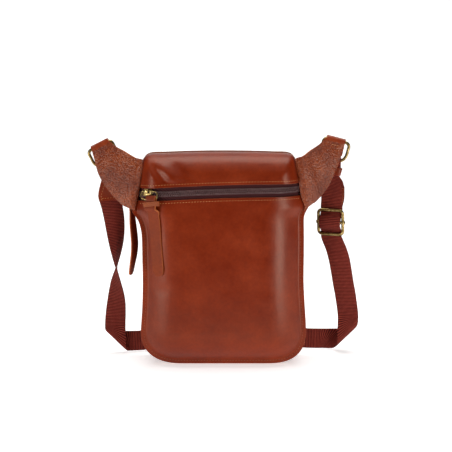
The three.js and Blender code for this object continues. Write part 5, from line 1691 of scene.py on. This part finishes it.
def turnedMetal(shape, profile, centre, axis, sides=24):
    # a ring of revolution; the profile is a closed list of radius and distance along the axis
    u = axis.orthogonal().normalized()
    v = axis.cross(u)
    base, count = len(shape["points"]), len(profile)
    for k in range(sides):
        angle = 2 * math.pi * k / sides
        spoke = u * math.cos(angle) + v * math.sin(angle)
        for radius, along in profile:
            shape["points"].append(centre + spoke * radius + axis * along)
    for k in range(sides):
        for j in range(count):
            a, b = base + k * count + j, base + k * count + (j + 1) % count
            c, d = base + (k + 1) % sides * count + (j + 1) % count, base + (k + 1) % sides * count + j
            shape["faces"].append([a, b, c, d])


def makeBuckle():
    halfSpan = (buckle["inside"] + buckle["wire"]) / 2
    top = metal["centre"] - metal["side"] * (buckle["drop"] / 2)
    loop = spreadLoop(roundedLoop(top, metal["bar"], metal["side"], halfSpan, buckle["drop"],
                                  buckle["corner"],
                                  buckle["corner"], 10), 2)
    shape = beadShape()
    tubeAlong(shape, loop, [metal["face"]] * len(loop), buckle["wire"] / 2, 16, True)
    keepPiece(makeObject("buckle_loop_brass", shape["points"], shape["faces"], [brass]), "antique_brass",
              "buckle_frame")
    shape = beadShape()
    inner = buckle["wire"] / 2 + gap
    outer, half, cut = inner + buckle["eyeWall"], buckle["eyeLength"] / 2, 0.35
    reach = halfSpan - inner - buckle["eyeWall"] / 2
    rod = [metal["centre"] + metal["bar"] * (reach * t) for t in (-1, -0.5, 0, 0.5, 1)]
    tubeAlong(shape, rod, [metal["face"]] * len(rod), buckle["wire"] / 2, 16)
    eye = [(inner, -half + cut), (inner + cut, -half), (outer - cut, -half), (outer, -half + cut),
           (outer, half - cut),
           (outer - cut, half), (inner + cut, half), (inner, half - cut)]
    for side in (-1, 1):
        turnedMetal(shape, eye, metal["centre"] + metal["bar"] * (side * halfSpan), metal["side"])
    keepPiece(makeObject("buckle_bar_brass", shape["points"], shape["faces"], [brass]), "antique_brass",
              "buckle_bar")


makeBuckle()
print("strap leather and buckle fitted")


# --- sliders and pulls
pulls = dict(sliderLength=13, sliderWidth=9.6, plate=1.4, crownLength=7, crownWidth=5.6, crownHeight=3.8,
             crownWall=0.9, wire=1.3, ringWidth=22, ringHeight=10.2, ringPower=3, width=13, loopWidth=11.6,
             leather=1.4, fold=18, loop=1.85, keeperWidth=19.5, keeperHeight=5, keeperTilt=9, loopAside=3.4,
             keeperAside=4.3, frontLength=97.4, topLength=112.2, topDrop=34.6)


def prism(shape, outline, low, high, centre, xAxis, yAxis, zAxis, cut=0.3):
    # a plate with softened upper and lower edges
    cx = sum(p[0] for p in outline) / len(outline)
    cy = sum(p[1] for p in outline) / len(outline)
    reach = max(math.hypot(x - cx, y - cy) for x, y in outline)
    layers = [(low, 1 - cut / reach), (low + cut, 1), (high - cut, 1), (high, 1 - cut / reach),
              (high + 0.02, 0.5)]
    base, count = len(shape["points"]), len(outline)
    for z, size in layers:
        for x, y in outline:
            shape["points"].append(centre + xAxis * (cx + (x - cx) * size) + yAxis * (cy + (y - cy) * size)
                                   + zAxis * z)
    for i in range(len(layers) - 1):
        for k in range(count):
            a, b = base + i * count + k, base + i * count + (k + 1) % count
            shape["faces"].append([a, b, b + count, a + count])
    shape["faces"].append([base + k for k in reversed(range(count))])
    shape["faces"].append([base + (len(layers) - 1) * count + k for k in range(count)])


def sliderOutline(halfLong, halfWide):
    # wide shoulders where the two chains part, a narrower tail
    rows = [(-1, 0.5), (-0.9, 0.66), (-0.5, 0.74), (0, 0.86), (0.45, 1), (0.75, 0.98), (0.92, 0.82),
            (1, 0.55)]
    upper = [(a * halfLong, w * halfWide) for a, w in rows]
    return upper + [(x, -y) for x, y in reversed(upper)]


def makeSlider(name, node, spot):
    along, up, out, centre = spot["along"], spot["up"], spot["out"], spot["centre"]
    run, side = (up, along) if spot["upright"] else (along, up)
    shape = beadShape()
    flip = spot["nose"]
    outline = [(x * flip, y) for x, y in sliderOutline(pulls["sliderLength"] / 2, pulls["sliderWidth"] / 2)]
    prism(shape, outline, 0, pulls["plate"], centre, run, side, out)
    # crown: an arch over the plate, bowed along its length
    half = pulls["crownWidth"] / 2 - pulls["crownWall"] / 2
    top = pulls["plate"] + pulls["crownHeight"] - pulls["crownWall"] / 2
    bend = [math.pi * k / 14 for k in range(15)]
    foot = pulls["plate"] * 0.6
    rise = [(-half * math.cos(a) ** 0.7 if a < math.pi / 2 else half * abs(math.cos(a)) ** 0.7,
             top * 0.55 + top * 0.45 * math.sin(a) ** 0.8) for a in bend]
    arch = [(-half, foot)] + rise + [(half, foot)]
    columns = [-1, -0.8, -0.4, 0, 0.4, 0.8, 1]
    surface = newSurface()
    rows = []
    for u, o in arch:
        share = clamp((o - pulls["plate"]) / pulls["crownHeight"], 0, 1)
        length = pulls["crownLength"] / 2 * (1 - 0.22 * share)
        rows.append([tuple(centre + up * (spot["crownUp"] + u) + out * (o - 0.45 * share * t * t)
                           + along * (t * length))
                     for t in columns])
    addRows(surface, rows)
    crown = sheetObject(name + "_crown", surface, pulls["crownWall"], 0.5, lambda p: p - centre, [brass],
                        0.25)
    plate = makeObject(name, shape["points"], shape["faces"], [brass])
    keepPiece(plate, "antique_brass", node)
    keepPiece(crown, "antique_brass")


def pullRingFrame(spot):
    turn, tilt = math.radians(spot["ringTurn"]), math.radians(spot["ringTilt"])
    along = spot["along"] * math.cos(turn) - spot["out"] * math.sin(turn)
    out = along.cross(spot["up"]).normalized()
    up = (spot["up"] * math.cos(tilt) - out * math.sin(tilt)).normalized()
    face = along.cross(up).normalized()
    halfX, halfY = pulls["ringWidth"] / 2 - pulls["wire"] / 2, pulls["ringHeight"] / 2
    crossing = spot["centre"] + spot["up"] * spot["crownUp"] + spot["out"] * (
        pulls["plate"] + (pulls["crownHeight"] - pulls["crownWall"]) * 0.45)
    centre = crossing + along * (pulls["crownLength"] / 2) - up * (halfY * 0.87)

    def at(x, y, z):
        return centre + along * x + up * y + face * z

    return dict(along=along, up=up, face=face, halfX=halfX, halfY=halfY, at=at)


def fuller(value):
    # an oval with fuller corners than an ellipse
    return math.copysign(abs(value) ** (2 / pulls["ringPower"]), value)


pullLayer = pulls["leather"] / 2 + gap / 2


def pullStations(ring, hanging):
    arcUp = -ring["halfY"] + pulls["ringHeight"] * 0.27
    low = -ring["halfY"] - pulls["wire"] / 2 - gap
    pinched = low - pulls["leather"]
    lean = pulls["keeperWidth"] * math.sin(math.radians(pulls["keeperTilt"]))
    keeperFoot = pinched - pulls["keeperHeight"] - gap - lean
    path = [station(ring["at"](pulls["loopAside"], y, 0), ring["along"])
            for y in (pinched, keeperFoot)] + hanging
    sign = 1 if frames(path)[0]["normal"].dot(ring["face"]) > 0 else -1
    neckAt = pulls["loopAside"]
    arc = [station(ring["at"](neckAt, arcUp + pulls["loop"] * math.sin(a), pulls["loop"] * math.cos(a)),
                   ring["along"],
                   pulls["loopWidth"]) for a in [math.pi * k / 12 for k in range(13)]]
    frontLeg = layerBeside(path, sign * pullLayer)
    backLeg = firstPart(layerBeside(path, -sign * pullLayer), pulls["fold"])
    necks = [station(ring["at"](neckAt, low, z), ring["along"], pulls["loopWidth"])
             for z in (pulls["loop"], -pulls["loop"])]
    return frontLeg[::-1] + [necks[0]] + arc + [necks[1]] + backLeg


def makePull(prefix, node, spot, hanging):
    ring = pullRingFrame(spot)
    makeSlider(prefix + "_slider_brass", node + "_slider", spot)
    shape = beadShape()
    loop = []
    for k in range(96):
        x, y = math.cos(2 * math.pi * k / 96), math.sin(2 * math.pi * k / 96)
        loop.append(ring["at"](ring["halfX"] * fuller(x), ring["halfY"] * fuller(y), 0))
    tubeAlong(shape, loop, [ring["face"]] * len(loop), pulls["wire"] / 2, 12, True)
    keepPiece(makeObject(prefix + "_ring_brass", shape["points"], shape["faces"], [brass]),
              "antique_brass", node + "_pull_ring")
    piece = bandObject(prefix + "_pull_leather", pullStations(ring, hanging), pulls["width"],
                       pulls["leather"], 1.2,
                       [pullHide, cutEdge])
    keepPiece(piece, "smooth_leather", node + "_pull")
    tilt = math.radians(pulls["keeperTilt"])
    xAxis = ring["along"] * math.cos(tilt) + ring["up"] * math.sin(tilt)
    low = -ring["halfY"] - pulls["wire"] / 2 - gap * 2 - pulls["leather"] - pulls["keeperHeight"] / 2
    halfY = pullLayer + pulls["leather"] / 2 + gap * 2
    keeper = leatherLoop(prefix + "_pull_keeper_leather", pulls["keeperWidth"] / 2 - pulls["leather"],
                         halfY, pulls["leather"],
                         pulls["keeperHeight"], ring["at"](pulls["keeperAside"], low, 0), xAxis,
                         ring["face"],
                         [keeperHide, keeperHide], 0.35)
    keepPiece(keeper, "raw_leather", node + "_pull_keeper")


keeperHide = rawLeather("undyed leather keeper", "#8E4218")
frontPullRows = [(-0.815, 0.224, 1, 0.22), (-0.79, 0.572, 1, 0.16), (-0.768, 0.907, 1, 0.14),
                 (-0.765, 0.951, 0.93, 0.14), (-0.764, 0.982, 0.72, 0.14), (-0.763, 1, 0.36, 0.14)]
topPullRows = [(-1.095, 0.273, 1, 10), (-1.077, 0.452, 1, 26), (-1.06, 0.653, 1, 30),
               (-1.067, 0.765, 1, 28), (-1.09, 0.888, 1, 22), (-1.103, 0.955, 0.93, 20),
               (-1.108, 0.984, 0.72, 20), (-1.111, 1, 0.36, 20)]


def makeFrontPull():
    slope = -26
    x = -0.883 * halfWidth
    along = turned(slope)
    touch = 0.84 * halfWidth
    face = coilDepth(-touch) + zips["coilHeight"] / 2 * slopeFactor(-touch) + gap
    y = -face + (x + touch) * math.tan(math.radians(slope))
    spot = dict(centre=Vector((x, y, zipLine(x) + 1.9)), along=along, up=Vector((0, 0, 1)),
                out=along.cross(Vector((0, 0, 1))), crownUp=2, ringTurn=3, ringTilt=14, upright=False,
                nose=1)
    across = turned(-20)
    half = pulls["width"] / 2 * across.x
    hanging = []
    for share, below, width, off in frontPullRows:
        place = Vector((share * halfWidth, 0, zips["height"] - below * pulls["frontLength"]))
        behind = panelDepth(place.x + half, place.z, body["frontBulge"]) + off * pulls["width"]
        place.y = -behind - pulls["width"] / 2 * across.y
        hanging.append(station(place, across, width * pulls["width"]))
    makePull("front", "front", spot, hanging)


def makeTopPull():
    along = Vector((0, -1, 0))
    height = body["height"] - pulls["topDrop"]
    spot = dict(centre=Vector((-1.008 * halfWidth, 1.5, height)), along=along, up=Vector((0, 0, 1)),
                out=Vector((-1, 0, 0)), crownUp=-2, ringTurn=0, ringTilt=30, upright=True, nose=-1)
    hanging = [station((share * halfWidth, -4, height - below * pulls["topLength"]), turned(-90 - turn),
                       width * pulls["width"]) for share, below, width, turn in topPullRows]
    makePull("top", "top", spot, hanging)


makeFrontPull()
makeTopPull()
print("sliders and pulls fitted")


# --- studio
studio = dict(camera=(0.003132, -1.201769, 0.374225), tilt=80, lens=82.4, floorWidth=1.5, front=0.315,
              back=1.7, wall=2.6, bend=0.7, paper="#F2F1EF", glow=0.55, air=0.05, target=(0, 0, 0.13))
# name, place and size in metres, power in watts; the two windows light the leather's sides from low down
lights = [
    ("left window", (-1.0, -0.82, 0.05), (0.3, 0.7), 7),
    ("right window", (0.86, -0.98, 0.05), (0.42, 0.7), 9),
    ("high front", (0.0, -0.75, 1.2), (1.4, 0.5), 1.6),
    ("overhead", (0.0, 0.15, 1.5), (1.6, 0.8), 21),
]


def makeFloor():
    surface = newSurface()
    rows = []
    back, bend = studio["back"], studio["bend"]
    path = [(-studio["front"], 0), (0, 0), (0.5, 0)] + [
        (back - bend + bend * math.sin(a), bend * (1 - math.cos(a)))
        for a in [math.pi / 2 * k / 16 for k in range(17)]] + [(back, studio["wall"])]
    for y, z in path:
        rows.append([(x * studio["floorWidth"] / mm / 2, y / mm, (z - 0.0006) / mm)
                     for x in (-1, -0.3, 0.3, 1)])
    addRows(surface, rows)
    # matt white paper on a lit table, so that it stays white; the room in front of its edge is dark
    material, _, _ = startMaterial("matt backdrop paper",
                                   {"Base Color": hexColour(studio["paper"]), "Roughness": 0.9,
                                    "Emission Color": (1, 1, 1, 1),
                                    "Emission Strength": studio["glow"]})
    floor = makeObject("studio_floor", surface["points"], surface["faces"], [material])
    floor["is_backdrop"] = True


def addLight(name, place, size, power):
    light = bpy.data.lights.new(name, "AREA")
    light.shape = "RECTANGLE"
    light.size, light.size_y = size
    light.energy = power
    light.color = (1, 1, 1)
    holder = bpy.data.objects.new(name, light)
    holder.location = place
    holder.rotation_euler = (Vector(studio["target"]) - Vector(place)).to_track_quat("-Z", "Y").to_euler()
    bpy.context.scene.collection.objects.link(holder)


def makeStudio():
    makeFloor()
    for name, place, size, power in lights:
        addLight(name, place, size, power)
    world = bpy.data.worlds.new("studio air")
    bpy.context.scene.world = world
    world.use_nodes = True
    world.node_tree.nodes["Background"].inputs["Color"].default_value = (1, 1, 1, 1)
    world.node_tree.nodes["Background"].inputs["Strength"].default_value = studio["air"]
    bpy.context.scene.view_settings.view_transform = "Standard"
    lens = bpy.data.cameras.new("photo camera")
    lens.lens = studio["lens"]
    lens.sensor_width = 36
    lens.clip_start = 0.01
    camera = bpy.data.objects.new("photo camera", lens)
    camera.location = studio["camera"]
    camera.rotation_euler = (math.radians(studio["tilt"]), 0, 0)
    bpy.context.scene.collection.objects.link(camera)
    bpy.context.scene.camera = camera


makeStudio()
print("studio ready")


def corners(box):
    return [[float(value) for value in corner] for corner in box]


dict(cad=corners(cadBox), visual=corners(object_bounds()))
